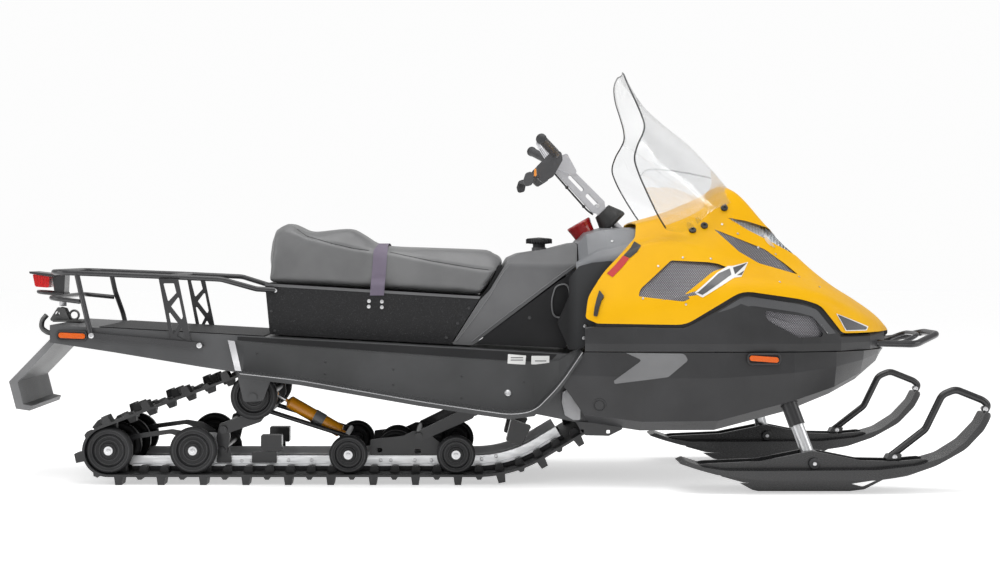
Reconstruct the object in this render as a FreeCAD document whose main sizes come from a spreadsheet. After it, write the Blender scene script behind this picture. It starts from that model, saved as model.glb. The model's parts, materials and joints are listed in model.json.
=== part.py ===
import FreeCAD, Part
import math
import os
from FreeCAD import Placement, Rotation, Vector

# A utility snowmobile. Frame: +X forward, +Y to the rider's left, +Z up, millimetres.
# The origin lies on the ground, under the middle of the machine's outline.
doc = FreeCAD.newDocument("Snowmobile")
sheet = doc.addObject("Spreadsheet::Sheet", "Sizes")

# ---------------------------------------------------------------- driving sizes
SIZES = [
    # running gear
    ("belt_width", 600), ("belt_thick", 8), ("belt_floor", 35),
    ("lug_tall", 27), ("lug_low", 9), ("drive_lug", 20), ("pitches", 54),
    ("idler_radius", 79.5), ("idler_width", 34), ("idler_rear_x", -1299), ("idler_mid_x", -1013),
    ("bogie_radius", 65.5), ("bogie_width", 30), ("bogie_back_x", -485), ("bogie_front_x", -119),
    ("top_idler_x", -806), ("top_idler_z", 299), ("driver_x", 352), ("driver_z", 296),
    ("driver_radius", 79), ("driver_teeth", 7), ("driver_width", 30), ("ramp_angle", 31), ("ramp_start", -50),
    ("rail_y", 150), ("rail_thick", 12), ("rail_bottom", 50), ("rail_top", 84), ("slide_width", 36), ("flange_width", 42),
    ("wheel_y", 270),
    # tunnel and running boards
    ("tunnel_half", 312), ("sheet_thick", 3), ("deck_rear_x", -1493), ("deck_rear_z", 543),
    ("deck_front_x", 270), ("deck_front_z", 445), ("board_rim", 14),
    # seat, box and tank
    ("box_half", 232), ("seat_half", 225), ("tank_half", 232),
    # bodywork
    ("hull_wall", 4), ("hood_wall", 4), ("seam_z", 460), ("seam_gap", 3),
    ("hinge_x", 1393), ("hinge_z", 512), ("hinge_pin_radius", 5),
    # steering
    ("column_x", 436), ("column_z", 897), ("column_lean", 43.6), ("column_reach", 288),
    ("bar_radius", 11), ("grip_radius", 16),
    # skis
    ("stance_half", 450), ("pivot_x", 1054), ("pivot_z", 97), ("strut_rake", 18.6),
    ("strut_lean", 15), ("leg_radius", 21.5), ("leg_bore", 22), ("sleeve_radius", 27), ("strut_hole", 30),
    ("ski_half", 102), ("ski_pin_radius", 8), ("ski_tube_radius", 12),
    # rear
    ("rack_tube_radius", 9), ("rack_half", 302), ("hitch_bore_radius", 8),
]
for row, (alias, value) in enumerate(SIZES, start=1):
    sheet.set("A%d" % row, alias)
    sheet.set("B%d" % row, str(value))
    sheet.setAlias("B%d" % row, alias)
doc.recompute()


def size(alias):
    return float(sheet.get(alias))


# ---------------------------------------------------------------- drawing helpers
def space(plane, a, b, off):
    """A point of a drawing plane in space: XZ looks along Y, YZ along X, XY down Z."""
    if plane == "XZ":
        return Vector(a, off, b)
    if plane == "YZ":
        return Vector(off, a, b)
    return Vector(a, b, off)


def rounded_edges(points, plane, off, closed=True):
    """Edges of a polygon (a, b) or (a, b, radius) with its corners rounded by arcs."""
    spots = [(p[0], p[1], p[2] if len(p) > 2 else 0.0) for p in points]
    count = len(spots)
    ends = []
    for i, (a, b, radius) in enumerate(spots):
        here = Vector(a, b, 0)
        inner = closed or 0 < i < count - 1
        if radius <= 0 or not inner:
            ends.append((here, None, here))
            continue
        back = Vector(spots[i - 1][0], spots[i - 1][1], 0) - here
        ahead = Vector(spots[(i + 1) % count][0], spots[(i + 1) % count][1], 0) - here
        half = back.getAngle(ahead) / 2
        if half > math.radians(89.8):
            ends.append((here, None, here))
            continue
        run = min(radius / math.tan(half), 0.49 * back.Length, 0.49 * ahead.Length)
        fit = run * math.tan(half)
        back.normalize()
        ahead.normalize()
        bisector = (back + ahead).normalize()
        mid = here + bisector * (fit / math.sin(half) - fit)
        ends.append((here + back * run, mid, here + ahead * run))
    edges = []
    for i, (start, mid, stop) in enumerate(ends):
        if mid is not None:
            three = [space(plane, p.x, p.y, off) for p in (start, mid, stop)]
            edges.append(Part.Arc(*three).toShape())
        if i == count - 1 and not closed:
            break
        nxt = ends[(i + 1) % count][0]
        if (nxt - stop).Length > 1e-4:
            edges.append(Part.makeLine(space(plane, stop.x, stop.y, off), space(plane, nxt.x, nxt.y, off)))
    return edges


def outline(points, plane, off=0.0):
    return Part.Wire(rounded_edges(points, plane, off))


def prism(points, plane, start, stop, holes=()):
    """A flat outline given depth between two offsets of its plane."""
    wires = [outline(points, plane, start)] + [outline(p, plane, start) for p in holes]
    face = Part.makeFace(wires, "Part::FaceMakerBullseye")
    return face.extrude(space(plane, 0, 0, stop) - space(plane, 0, 0, 0) - space(plane, 0, 0, start))


def disc(x, y0, y1, z, radius):
    """A cylinder across the machine, along Y."""
    return Part.makeCylinder(radius, abs(y1 - y0), Vector(x, min(y0, y1), z), Vector(0, 1, 0))


def rod(start, stop, radius, bore=0.0):
    a = Vector(*start)
    b = Vector(*stop)
    solid = Part.makeCylinder(radius, (b - a).Length, a, b - a)
    if bore > 0:
        solid = solid.cut(Part.makeCylinder(bore, (b - a).Length, a, b - a))
    return solid


def bent_rod(points, radius, bend):
    """A round bar through points in space, each inner corner rounded by a tangent arc."""
    spots = [Vector(*p) for p in points]
    edges = []
    last = spots[0]
    for i in range(1, len(spots) - 1):
        here = spots[i]
        back = spots[i - 1] - here
        ahead = spots[i + 1] - here
        half = back.getAngle(ahead) / 2
        run = min(bend / math.tan(half), 0.45 * back.Length, 0.45 * ahead.Length)
        fit = run * math.tan(half)
        back.normalize()
        ahead.normalize()
        mid = here + (back + ahead).normalize() * (fit / math.sin(half) - fit)
        edges.append(Part.makeLine(last, here + back * run))
        edges.append(Part.Arc(here + back * run, mid, here + ahead * run).toShape())
        last = here + ahead * run
    edges.append(Part.makeLine(last, spots[-1]))
    path = Part.Wire(edges)
    first = spots[1] - spots[0]
    ring = Part.Wire(Part.makeCircle(radius, spots[0], first))
    return path.makePipeShell([ring], True, False)


def mirrored(shape):
    return shape.mirror(Vector(0, 0, 0), Vector(0, 1, 0))


def both(shape):
    """A shape and its twin across the machine's middle plane."""
    return [shape, mirrored(shape)]


def joined(shapes):
    shapes = [s for s in shapes]
    if len(shapes) == 1:
        return shapes[0]
    return shapes[0].multiFuse(shapes[1:]).removeSplitter()


def group(shapes):
    solids = []
    for shape in shapes:
        solids += shape.Solids
    return Part.makeCompound(solids)


def section(half, x):
    """A closed section across the machine from its half outline (y, z), bottom first."""
    left = [Vector(x, y, z) for y, z in half]
    right = [Vector(x, -y, z) for y, z in reversed(half) if y > 0.01]
    return Part.makePolygon(left + right + [left[0]])


NODES = []


def node(label, shape):
    """A sub-part whose form is set by Part's own functions."""
    if shape.ShapeType == "Compound" and len(shape.Solids) == 1:
        shape = shape.Solids[0]
    item = doc.addObject("Part::Feature", label)
    item.Label = label
    item.Shape = shape
    NODES.append(item)
    return item


def sketch_on(body, plane, edges, shift=0.0):
    """A sketch on one of the body's own origin planes, holding the given edges."""
    role = plane + "_Plane"
    origin_plane = [f for f in body.Origin.OriginFeatures if f.Role == role][0]
    sketch = body.newObject("Sketcher::SketchObject", body.Name + "_sketch")
    sketch.AttachmentSupport = (origin_plane, [""])
    sketch.MapMode = "FlatFace"
    if shift:
        sketch.AttachmentOffset = Placement(Vector(0, 0, shift), Rotation())
    for edge in edges:
        sketch.addGeometry(edge_geometry(edge))
    return sketch


def edge_geometry(edge):
    if isinstance(edge.Curve, Part.Line):
        return Part.LineSegment(edge.Vertexes[0].Point, edge.Vertexes[-1].Point)
    middle = edge.valueAt((edge.FirstParameter + edge.LastParameter) / 2)
    first = edge.valueAt(edge.FirstParameter)
    last = edge.valueAt(edge.LastParameter)
    return Part.Arc(first, middle, last)


def flat_edges(points):
    return rounded_edges(points, "XY", 0.0)


def padded_body(label, plane, points, length_alias, holes=(), shift=0.0, is_node=True):
    """A Body whose pad is symmetric about its plane and as deep as a cell of the sheet."""
    body = doc.addObject("PartDesign::Body", label)
    body.Label = label
    sketch = sketch_on(body, plane, flat_edges(points), shift)
    for hole in holes:
        for edge in flat_edges(hole):
            sketch.addGeometry(edge_geometry(edge))
    pad = body.newObject("PartDesign::Pad", label + "_pad")
    pad.Profile = sketch
    pad.Midplane = True
    pad.setExpression("Length", length_alias)
    doc.recompute()
    if is_node:
        NODES.append(body)
    return body


def turned_body(label, profile, axis="V_Axis"):
    """A Body revolved about the sketch's upright axis: profile holds (radius, along)."""
    body = doc.addObject("PartDesign::Body", label)
    body.Label = label
    sketch = sketch_on(body, "XY", flat_edges(profile))
    turn = body.newObject("PartDesign::Revolution", label + "_turn")
    turn.Profile = sketch
    turn.ReferenceAxis = (sketch, [axis])
    turn.Angle = 360.0
    doc.recompute()
    return body


def placed(shape, x, y, z, flip=False):
    copy = shape.copy()
    if flip:
        copy = mirrored(copy)
    copy.translate(Vector(x, y, z))
    return copy


# ---------------------------------------------------------------- track
def belt_path():
    """The inner line of the belt: tangent lines and arcs, walked backwards along the top."""
    floor = size("belt_floor")
    idler = (size("idler_rear_x"), floor + size("idler_radius") + 0.5, size("idler_radius") + 0.5)
    top = (size("top_idler_x"), size("top_idler_z"), size("idler_radius") + 0.5)
    driver = (size("driver_x"), size("driver_z"), size("driver_radius") + 1.0)
    ramp = math.radians(size("ramp_angle"))
    low = (driver[0] + driver[2] * math.sin(ramp), driver[1] - driver[2] * math.cos(ramp))
    knee = low[0] - (low[1] - floor) / math.tan(ramp)
    lead = knee - size("ramp_start")
    bend = lead / math.tan(ramp / 2)
    rise = math.atan2(top[1] - idler[1], top[0] - idler[0])
    run = math.atan2(top[1] - driver[1], top[0] - driver[0]) - math.pi
    pieces = []
    # heading is measured from +X; the belt is followed forward along the ground
    pieces.append(("line", (idler[0], floor), (size("ramp_start"), floor)))
    pieces.append(("arc", (size("ramp_start"), floor + bend), bend, -math.pi / 2, -math.pi / 2 + ramp))
    pieces.append(("line", None, low))
    pieces.append(("arc", driver[:2], driver[2], -math.pi / 2 + ramp, math.pi / 2 + run))
    pieces.append(("line", None, arc_point(top, math.pi / 2 + run)))
    pieces.append(("arc", top[:2], top[2], math.pi / 2 + run, math.pi / 2 + rise))
    pieces.append(("line", None, arc_point(idler, math.pi / 2 + rise)))
    pieces.append(("arc", idler[:2], idler[2], math.pi / 2 + rise, 3 * math.pi / 2))
    return pieces


def arc_point(circle, angle):
    return (circle[0] + circle[2] * math.cos(angle), circle[1] + circle[2] * math.sin(angle))


def measured_path():
    """The path as (kind, length, point-at-distance, outward normal)."""
    spans = []
    here = None
    for piece in belt_path():
        if piece[0] == "line":
            start = Vector(*(piece[1] or here), 0)
            stop = Vector(*piece[2], 0)
            ahead = (stop - start).normalize()
            spans.append(("line", (stop - start).Length, start, ahead))
            here = piece[2]
        else:
            turn = piece[4] - piece[3]
            spans.append(("arc", abs(turn) * piece[2], piece, turn))
            here = arc_point((piece[1][0], piece[1][1], piece[2]), piece[4])
    return spans


SPANS = measured_path()
BELT_LENGTH = sum(span[1] for span in SPANS)


def on_belt(distance, height):
    """A point at a distance along the belt and a height out from its inner face."""
    distance = distance % BELT_LENGTH
    for kind, length, data, turn in SPANS:
        if distance <= length:
            if kind == "line":
                point = data + turn * distance
                return Vector(point.x + turn.y * height, 0, point.y - turn.x * height)
            angle = data[3] + turn * distance / length
            reach = data[2] + height
            return Vector(data[1][0] + reach * math.cos(angle), 0, data[1][1] + reach * math.sin(angle))
        distance -= length
    return on_belt(0, height)


def belt_loop(bumps, base, side):
    """A closed loop at a height from the inner face, with bumps (centre, foot, tip, rise)."""
    joints = []
    total = 0.0
    for span in SPANS:
        joints.append(total)
        total += span[1]
    stops = [(at, base, "joint") for at in joints]
    for centre, foot, tip, rise in bumps:
        stops = [s for s in stops if abs(s[0] - centre) > foot / 2 + 1]
        stops.append((centre - foot / 2, base, "foot"))
        stops.append((centre - tip / 2, base + side * rise, "tip"))
        stops.append((centre + tip / 2, base + side * rise, "tip"))
        stops.append((centre + foot / 2, base, "end"))
    stops.sort(key=lambda s: s[0])
    edges = []
    for i, (at, height, kind) in enumerate(stops):
        nxt = stops[(i + 1) % len(stops)]
        until = nxt[0] if i + 1 < len(stops) else nxt[0] + BELT_LENGTH
        start = on_belt(at, height)
        stop = on_belt(until, nxt[1])
        if (stop - start).Length < 1e-4:
            continue
        middle = on_belt((at + until) / 2, base)
        straight = kind in ("foot", "tip") or (middle - (start + stop) / 2).Length < 0.02
        if straight:
            edges.append(Part.makeLine(start, stop))
        else:
            edges.append(Part.Arc(start, middle, stop).toShape())
    return Part.Wire(edges)


def belt_band(near, far, outer_bumps, inner_bumps):
    thick = size("belt_thick")
    outer = belt_loop(outer_bumps, thick, 1)
    inner = belt_loop(inner_bumps, 0.0, -1)
    ring = Part.makeFace([outer, inner], "Part::FaceMakerBullseye")
    ring.translate(Vector(0, near, 0))
    return ring.extrude(Vector(0, far - near, 0))


def make_track():
    count = int(size("pitches"))
    pitch = BELT_LENGTH / count
    tall = size("lug_tall")
    low = size("lug_low")
    half = size("belt_width") / 2
    edge_lugs = []
    centre_lugs = []
    drive_lugs = []
    for k in range(count):
        at = (k + 0.5) * pitch
        tall_one = (at, 30.0, 22.0, tall)
        low_one = (at, 24.0, 12.0, low)
        edge_lugs.append(tall_one if k % 2 == 0 else low_one)
        centre_lugs.append(low_one if k % 2 == 0 else tall_one)
        drive_lugs.append((at, 34.0, 22.0, size("drive_lug")))
    bands = [
        # near, far, outer bumps, inner bumps
        (-half, -228.0, edge_lugs, []),
        (-228.0, -190.0, [], drive_lugs),
        (-190.0, -75.0, [], []),
        (-75.0, 75.0, centre_lugs, []),
        (75.0, 190.0, [], []),
        (190.0, 228.0, [], drive_lugs),
        (228.0, half, edge_lugs, []),
    ]
    return [belt_band(*band) for band in bands]


track_parts = make_track()
node("track", joined(track_parts))
print("belt length %.0f mm, pitch %.2f mm" % (BELT_LENGTH, BELT_LENGTH / size("pitches")))


# ---------------------------------------------------------------- wheels
def wheel_profile(radius, width):
    """Half section (radius, along the axle): rubber-tyred disc with a dished web and a hub."""
    w = width / 2
    return [
        (12, -w + 2), (24, -w + 2), (26, -w + 8), (radius * 0.52, -5), (radius * 0.66, -5), (radius * 0.72, -w + 3),
        (radius * 0.80, -w, 2), (radius - 6, -w, 3), (radius, -w + 6, 3), (radius, w - 6, 3), (radius - 6, w, 3),
        (radius * 0.80, w, 2), (radius * 0.72, w - 3), (radius * 0.66, 5), (radius * 0.52, 5), (26, w - 8),
        (24, w - 2), (12, w - 2),
    ]


idler_unit = turned_body("idler_unit", wheel_profile(size("idler_radius"), size("idler_width")))
bogie_unit = turned_body("bogie_unit", wheel_profile(size("bogie_radius"), size("bogie_width")))
floor_z = size("belt_floor")
outer_y = size("wheel_y")

IDLERS = [
    # x, z, half spread of the pair
    (size("idler_rear_x"), floor_z + 80, outer_y),
    (size("idler_rear_x"), floor_z + 80, 95.0),
    (size("idler_mid_x"), floor_z + 80, outer_y),
    (size("top_idler_x"), size("top_idler_z"), outer_y),
]
wheel_solids = [placed(idler_unit.Shape, x, y * side, z) for x, z, y in IDLERS for side in (-1, 1)]

BOGIES = [
    (size("bogie_back_x"), floor_z + 66, outer_y),
    (size("bogie_front_x"), floor_z + 66, outer_y),
    (-329.0, floor_z + 66, 95.0),
]
wheel_solids += [placed(bogie_unit.Shape, x, y * side, z) for x, z, y in BOGIES for side in (-1, 1)]
node("track_wheels", group(wheel_solids))

# axles run across the rails through every wheel pair, with a round cap outside each wheel
axle_shapes = []
for x, z in [(size("idler_rear_x"), floor_z + 80), (size("idler_mid_x"), floor_z + 80),
             (size("top_idler_x"), size("top_idler_z")), (size("bogie_back_x"), floor_z + 66),
             (size("bogie_front_x"), floor_z + 66)]:
    bar = disc(x, -outer_y - 20, outer_y + 20, z, 12)
    caps = [disc(x, s * (outer_y + 15), s * (outer_y + 24), z, 15) for s in (-1, 1)]
    axle_shapes.append(joined([bar] + caps))
axle_shapes.append(disc(-329, -120, 120, floor_z + 66, 12))
node("wheel_axles", group(axle_shapes))

# ---------------------------------------------------------------- slide rails
rail_t = size("rail_thick")
z0 = size("rail_bottom")
z1 = size("rail_top")


def belt_strip(low, high, start, stop):
    """A strip that follows the belt's inner face between two heights above it."""
    arc_from = SPANS[0][1]
    arc_to = arc_from + SPANS[1][1]
    middle = (arc_from + arc_to) / 2
    corner = [on_belt(at, -low) for at in (start, arc_from, middle, arc_to, stop)]
    back = [on_belt(at, -high) for at in (stop, arc_to, middle, arc_from, start)]
    edges = [Part.makeLine(corner[0], corner[1]), Part.Arc(corner[1], corner[2], corner[3]).toShape(),
             Part.makeLine(corner[3], corner[4]), Part.makeLine(corner[4], back[0]), Part.makeLine(back[0], back[1]),
             Part.Arc(back[1], back[2], back[3]).toShape(), Part.makeLine(back[3], back[4]),
             Part.makeLine(back[4], corner[0])]
    for edge in edges:
        edge.rotate(Vector(0, 0, 0), Vector(1, 0, 0), -90)
    return edges


def strip_body(label, low, high, start, stop, width_alias):
    """A Body padded from a sketch of such a strip, drawn on its XZ plane."""
    body = doc.addObject("PartDesign::Body", label)
    body.Label = label
    sketch = sketch_on(body, "XZ", belt_strip(low, high, start, stop))
    pad = body.newObject("PartDesign::Pad", label + "_pad")
    pad.Profile = sketch
    pad.Midplane = True
    pad.setExpression("Length", width_alias)
    doc.recompute()
    return body


ramp_stop = SPANS[0][1] + SPANS[1][1] + 84.0
shoe_top = size("rail_bottom") - size("belt_floor") - 1
rail_unit = strip_body("rail_unit", shoe_top + 1, size("rail_top") - size("belt_floor"), 60.0, ramp_stop,
                       "Sizes.rail_thick")
tail_plate = prism([(-1288, z0 + 22, 10), (-1240, z0, 20), (-1000, z0), (-960, z1 - 1), (-978, z1 + 4), (-984, z1 + 50, 16),
                    (-1040, z1 + 50, 16), (-1052, z1 - 4, 10), (-1244, z1 - 6, 10), (-1270, z1 + 52, 16),
                    (-1326, z1 + 50, 16), (-1322, z1 + 10, 10)], "XZ", -rail_t / 2, rail_t / 2)
axle_holes = [disc(x, -20, 20, z, 12.2) for x, z in
              [(size("idler_rear_x"), floor_z + 80), (size("idler_mid_x"), floor_z + 80)]]
flange_unit = strip_body("flange_unit", shoe_top + 1, shoe_top + 8, 60.0, ramp_stop, "Sizes.flange_width")
rail_shape = joined([rail_unit.Shape, tail_plate, flange_unit.Shape])
rail_shape = rail_shape.cut(joined(axle_holes))
rails = [placed(rail_shape, 0, s * size("rail_y"), 0) for s in (-1, 1)]
node("slide_rails", group(rails))

# plastic slide shoes clipped under the rails, following the ramp up at the front
slide_unit = strip_body("slide_unit", 0.6, shoe_top, 62.0, ramp_stop + 6, "Sizes.slide_width")
node("slide_shoes", group([placed(slide_unit.Shape, 0, s * size("rail_y"), 0) for s in (-1, 1)]))

# ---------------------------------------------------------------- rear suspension
arm_parts = []
# front arm: two channel legs from the rail pivot up to a cross tube under the tunnel
for side in (-1, 1):
    y = side * 192
    leg = prism([(-262, 148, 8), (-240, 138, 8), (-62, 216, 10), (-40, 244, 10), (-66, 262, 10), (-250, 172, 8)],
                "XZ", y - 6, y + 6)
    arm_parts.append(leg)
arm_parts.append(rod((-55, -230, 244), (-55, 230, 244), 16))
arm_parts.append(rod((-247, -210, 156), (-247, 210, 156), 12))
front_arm = joined(arm_parts)

rear_arm = []
for side in (-1, 1):
    y = side * 205
    leg = prism([(-932, 174, 10), (-906, 166, 10), (-790, 206, 10), (-742, 272, 14), (-744, 314, 14), (-776, 314, 14),
                 (-800, 262, 10), (-836, 232, 10), (-930, 200, 10)], "XZ", y - 7, y + 7)
    rear_arm.append(leg)
    swing = prism([(-934, 200, 8), (-903, 200, 8), (-898, 150, 8), (-912, 92, 8), (-936, 92, 8), (-946, 150, 8)],
                  "XZ", side * 184 - 5, side * 184 + 5)
    rear_arm.append(swing)
rear_arm.append(rod((-918, -225, 180), (-918, 225, 180), 13))
rear_arm.append(rod((-762, -225, 300), (-762, 225, 300), 11))
rear_arm.append(rod((-925, -200, 108), (-925, 200, 108), 10))
rear_arm_solid = joined(rear_arm)

# shock absorber between the rear arm's cross tube and the front bracket, with its two rods
shock_y = -96.0
shock_foot = Vector(-500, shock_y, 150)
shock_head = Vector(-762, shock_y, 300)
along = (shock_head - shock_foot).normalize()
shock_low = shock_foot + along * 9.0
damper = turned_body("damper_unit", [
    (0, 0), (9, 0), (9, 14), (23, 18, 2), (23, 96), (24.5, 98), (24.5, 126), (23, 128), (23, 222, 3), (15, 228),
    (9, 230), (6, 232), (6, 270), (11, 273), (11, 281.8), (0, 281.8),
])
damper_shape = damper.Shape.copy()
damper_shape.Placement = Placement(shock_low, Rotation(Vector(0, 1, 0), along))
node("shock_absorber", damper_shape)
links = [rod((-770, s * 132, 236), (-500, s * 132, 150), 8) for s in (-1, 1)]
links.append(rod((-500, -150, 150), (-500, 150, 150), 9))
rear_arm_solid = joined([rear_arm_solid, rod((-770, -212, 236), (-770, 212, 236), 9)] + links)
node("suspension_arms", group([front_arm, rear_arm_solid]))

# brackets bolted to the rails: pivot plates, rubber stops, clamps
plate_shapes = []
stop_shapes = []
for side in (-1, 1):
    y = side * (size("rail_y") + 14 if side > 0 else size("rail_y") + 14)
    front_plate = prism([(-416, 86), (-174, 86), (-174, 128, 10), (-222, 168, 14), (-266, 170, 14), (-300, 154, 20),
                         (-416, 140, 6)], "XZ", y - 3, y + 3, holes=[
                             [(-394, 96, 7), (-374, 96, 7), (-374, 112, 7), (-394, 112, 7)],
                             [(-262, 92, 7), (-240, 92, 7), (-240, 108, 7), (-262, 108, 7)]])
    rear_plate = prism([(-950, 60, 6), (-895, 60, 6), (-900, 100, 6), (-912, 128, 8), (-940, 128, 8)],
                       "XZ", y - 3, y + 3)
    clamp = prism([(-826, 60, 3), (-740, 60, 3), (-740, 98, 3), (-826, 98, 3)], "XZ", y - 4, y + 4)
    plate_shapes += [front_plate, rear_plate, clamp]
    stop_shapes.append(prism([(-794, 102, 4), (-722, 102, 4), (-722, 156, 4), (-794, 156, 4)],
                             "XZ", side * 150 - 24, side * 150 + 24))
    stop_shapes.append(prism([(54, 138, 4), (106, 118, 4), (142, 186, 4), (72, 212, 4)],
                             "XZ", side * 150 - 24, side * 150 + 24))
# a slim arm on each side ties the rear axle to the middle one above the rails
tie_side = [(-1322, 128, 12), (-1310, 146, 12), (-1284, 146, 10), (-1222, 162, 40), (-1100, 178, 30), (-1040, 168, 20),
            (-996, 140, 10), (-990, 100, 12), (-1034, 96, 12), (-1042, 138, 14), (-1104, 162, 30), (-1218, 146, 40),
            (-1272, 124, 10), (-1284, 98, 12), (-1318, 100, 12)]
for side in (-1, 1):
    plate_shapes.append(prism(tie_side, "XZ", side * 172, side * 180))
axle_space = joined([disc(x, -200, 200, z, 12) for x, z in
                     [(size("idler_rear_x"), floor_z + 80), (size("idler_mid_x"), floor_z + 80)]])
pin_space = front_arm.fuse(rear_arm_solid).fuse(axle_space)
node("rail_brackets", group([p.cut(pin_space) for p in plate_shapes] + stop_shapes))

# drive axle: a hollow shaft with two plain rollers and two toothed wheels that meet the inner lugs
def lug_angle():
    """The direction, from the driver's centre, of the first inner lug that lies on its arc."""
    pitch = BELT_LENGTH / int(size("pitches"))
    centre = Vector(size("driver_x"), 0, size("driver_z"))
    for k in range(int(size("pitches"))):
        reach = on_belt((k + 0.5) * pitch, 0.0) - centre
        if abs(reach.Length - size("driver_radius") - 1.0) < 0.01:
            return math.atan2(reach.z, reach.x)
    return 0.0


teeth = int(size("driver_teeth"))
first_tooth = lug_angle() + math.pi / teeth
tooth_wheel = []
for k in range(teeth):
    angle = first_tooth + k * 2 * math.pi / teeth
    for turn, reach in [(-0.42, 54), (-0.17, 58), (-0.11, 76), (0.11, 76), (0.17, 58)]:
        tooth_wheel.append((reach * math.cos(angle + turn), reach * math.sin(angle + turn), 2.0))
tooth_unit = padded_body("tooth_unit", "XZ", tooth_wheel, "Sizes.driver_width", is_node=False)
at_x = size("driver_x")
at_z = size("driver_z")
axle_pieces = [disc(at_x, -304, 304, at_z, 20)]
for side in (-1, 1):
    axle_pieces.append(disc(at_x, side * 140, side * 168, at_z, size("driver_radius")))
    axle_pieces.append(placed(tooth_unit.Shape, at_x, side * 204, at_z))
node("drive_axle", joined(axle_pieces))


# ---------------------------------------------------------------- tunnel and running boards
half = size("tunnel_half")
sheet_t = size("sheet_thick")


def deck(x):
    """Height of the tunnel's top, which slopes down towards the front."""
    share = (x - size("deck_rear_x")) / (size("deck_front_x") - size("deck_rear_x"))
    return size("deck_rear_z") + share * (size("deck_front_z") - size("deck_rear_z"))


rear_x = size("deck_rear_x")
front_x = size("deck_front_x")
side_outline = [
    (rear_x, deck(rear_x)), (front_x, deck(front_x)), (486, 436), (490, 205, 20), (330, 206, 20), (140, 244, 40),
    (30, 248, 60),
    (-240, 296, 200), (-640, 366, 200), (-867, 384, 60), (-985, 402, 60), (-1273, 450), (rear_x, 484),
]
side_plates = [prism(side_outline, "XZ", s * half, s * (half - sheet_t)) for s in (-1, 1)]
top_plate = prism([(rear_x, deck(rear_x)), (front_x, deck(front_x)), (front_x, deck(front_x) - sheet_t),
                   (rear_x, deck(rear_x) - sheet_t)], "XZ", -half, half)
nose_plate = prism([(front_x, deck(front_x)), (486, 436), (490, 207), (487, 207), (483, 433),
                    (front_x, deck(front_x) - sheet_t)], "XZ", -half, half)
rear_plate = prism([(-half, 486), (half, 486), (half, deck(rear_x)), (-half, deck(rear_x))], "YZ",
                   rear_x, rear_x + sheet_t)
# a plate on each side hangs below the tunnel and carries the end of the upper idler's axle
hanger_side = [(-864, 394), (-736, 384), (-772, 286, 14), (-838, 282, 14)]
hangers = [prism(hanger_side, "XZ", s * (half - sheet_t - 5), s * (half - sheet_t + 1)) for s in (-1, 1)]
hangers += [disc(size("top_idler_x"), s * (half - sheet_t), s * (half + 3), size("top_idler_z"), 14) for s in (-1, 1)]
tunnel_shape = joined(side_plates + [top_plate, nose_plate, rear_plate] + hangers)
node("tunnel", tunnel_shape)

# each running board: side skirt, tread plate and rolled rim, rising to a toe guard at the front
BOARD = [
    # x, crease height, foot of the skirt (y, z), outer edge (y, z)
    (-862, 482, 316, 392, 330, 392),
    (-836, 480, 330, 386, 436, 386),
    (-640, 464, 342, 366, 440, 364),
    (-240, 434, 350, 300, 440, 294),
    (-40, 420, 352, 268, 440, 264),
    (60, 413, 350, 254, 440, 250),
    (140, 410, 346, 262, 438, 260),
    (228, 420, 340, 352, 436, 350),
    (300, 462, 330, 456, 432, 456),
]


def board_section(x, crease, foot_y, foot_z, edge_y, edge_z):
    t = sheet_t
    inner = half + 0.4
    rim = size("board_rim")
    pts = [
        (inner, crease + 8), (inner, crease), (foot_y, foot_z), (edge_y, edge_z), (edge_y, edge_z - rim),
        (edge_y + t, edge_z - rim), (edge_y + t, edge_z + t + 2), (foot_y + t * 0.6, foot_z + t), (inner + t, crease + t),
        (inner + t, crease + 8),
    ]
    return Part.makePolygon([Vector(x, -y, z) for y, z in pts + [pts[0]]])


board = Part.makeLoft([board_section(*row) for row in BOARD], True, True)
node("running_boards", group(both(board)))

# bright braces at the rear of the boards
brace = joined([Part.makeLoft([
    Part.makePolygon([Vector(-890, -316.5, 492), Vector(-867, -316.5, 489), Vector(-867, -319.5, 489),
                      Vector(-890, -319.5, 492), Vector(-890, -316.5, 492)]),
    Part.makePolygon([Vector(-850, -443.5, 398), Vector(-829, -443.5, 396), Vector(-829, -446.5, 396),
                      Vector(-850, -446.5, 398), Vector(-850, -443.5, 398)])], True, True)])
node("board_braces", group(both(brace)))

# ---------------------------------------------------------------- rear rack
tube = size("rack_tube_radius")
side_half = size("rack_half")
rack = []
# the top hoop runs forward along both sides and joins the seat box
hoop = [(-740, -243, 660), (-800, -262, 664), (-915, -side_half, 698), (-1130, -side_half, 708),
        (-1492, -side_half, 722), (-1500, side_half, 722), (-1130, side_half, 708), (-915, side_half, 698),
        (-800, 262, 664), (-740, 243, 660)]
rack.append(bent_rod(hoop, tube, 60))
for side in (-1, 1):
    y = side * side_half
    foot = side * (half + 14)
    rack.append(bent_rod([(-1404, y, 717), (-1388, y, 644), (-1364, foot, 564), (-1348, foot, 500)], tube, 60))
lower_hoop = [(-1392, -side_half - 4, 622), (-1500, -side_half + 20, 634), (-1500, side_half - 20, 634),
              (-1392, side_half + 4, 622)]
rack.append(bent_rod(lower_hoop, 8, 40))
rack.append(bent_rod([(-1100, -side_half, 706), (-1104, 0, 706), (-1100, side_half, 706)], 8, 60))


def lattice():
    """A plate with three windows and two diagonal bars between them."""
    frame = [(-1124, 700), (-1058, 700), (-1012, 478), (-1082, 480)]
    windows = [
        [(-1108, 684, 3), (-1072, 684, 3), (-1064, 652, 3), (-1092, 622, 3)],
        [(-1056, 640, 3), (-1082, 606, 3), (-1046, 560, 3), (-1042, 572, 3)],
        [(-1092, 594, 3), (-1056, 546, 3), (-1074, 508, 3)],
        [(-1048, 536, 3), (-1062, 506, 3), (-1036, 492, 3), (-1028, 494, 3)],
    ]
    return prism(frame, "XZ", -half - 6, -half - 2, holes=windows)



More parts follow.
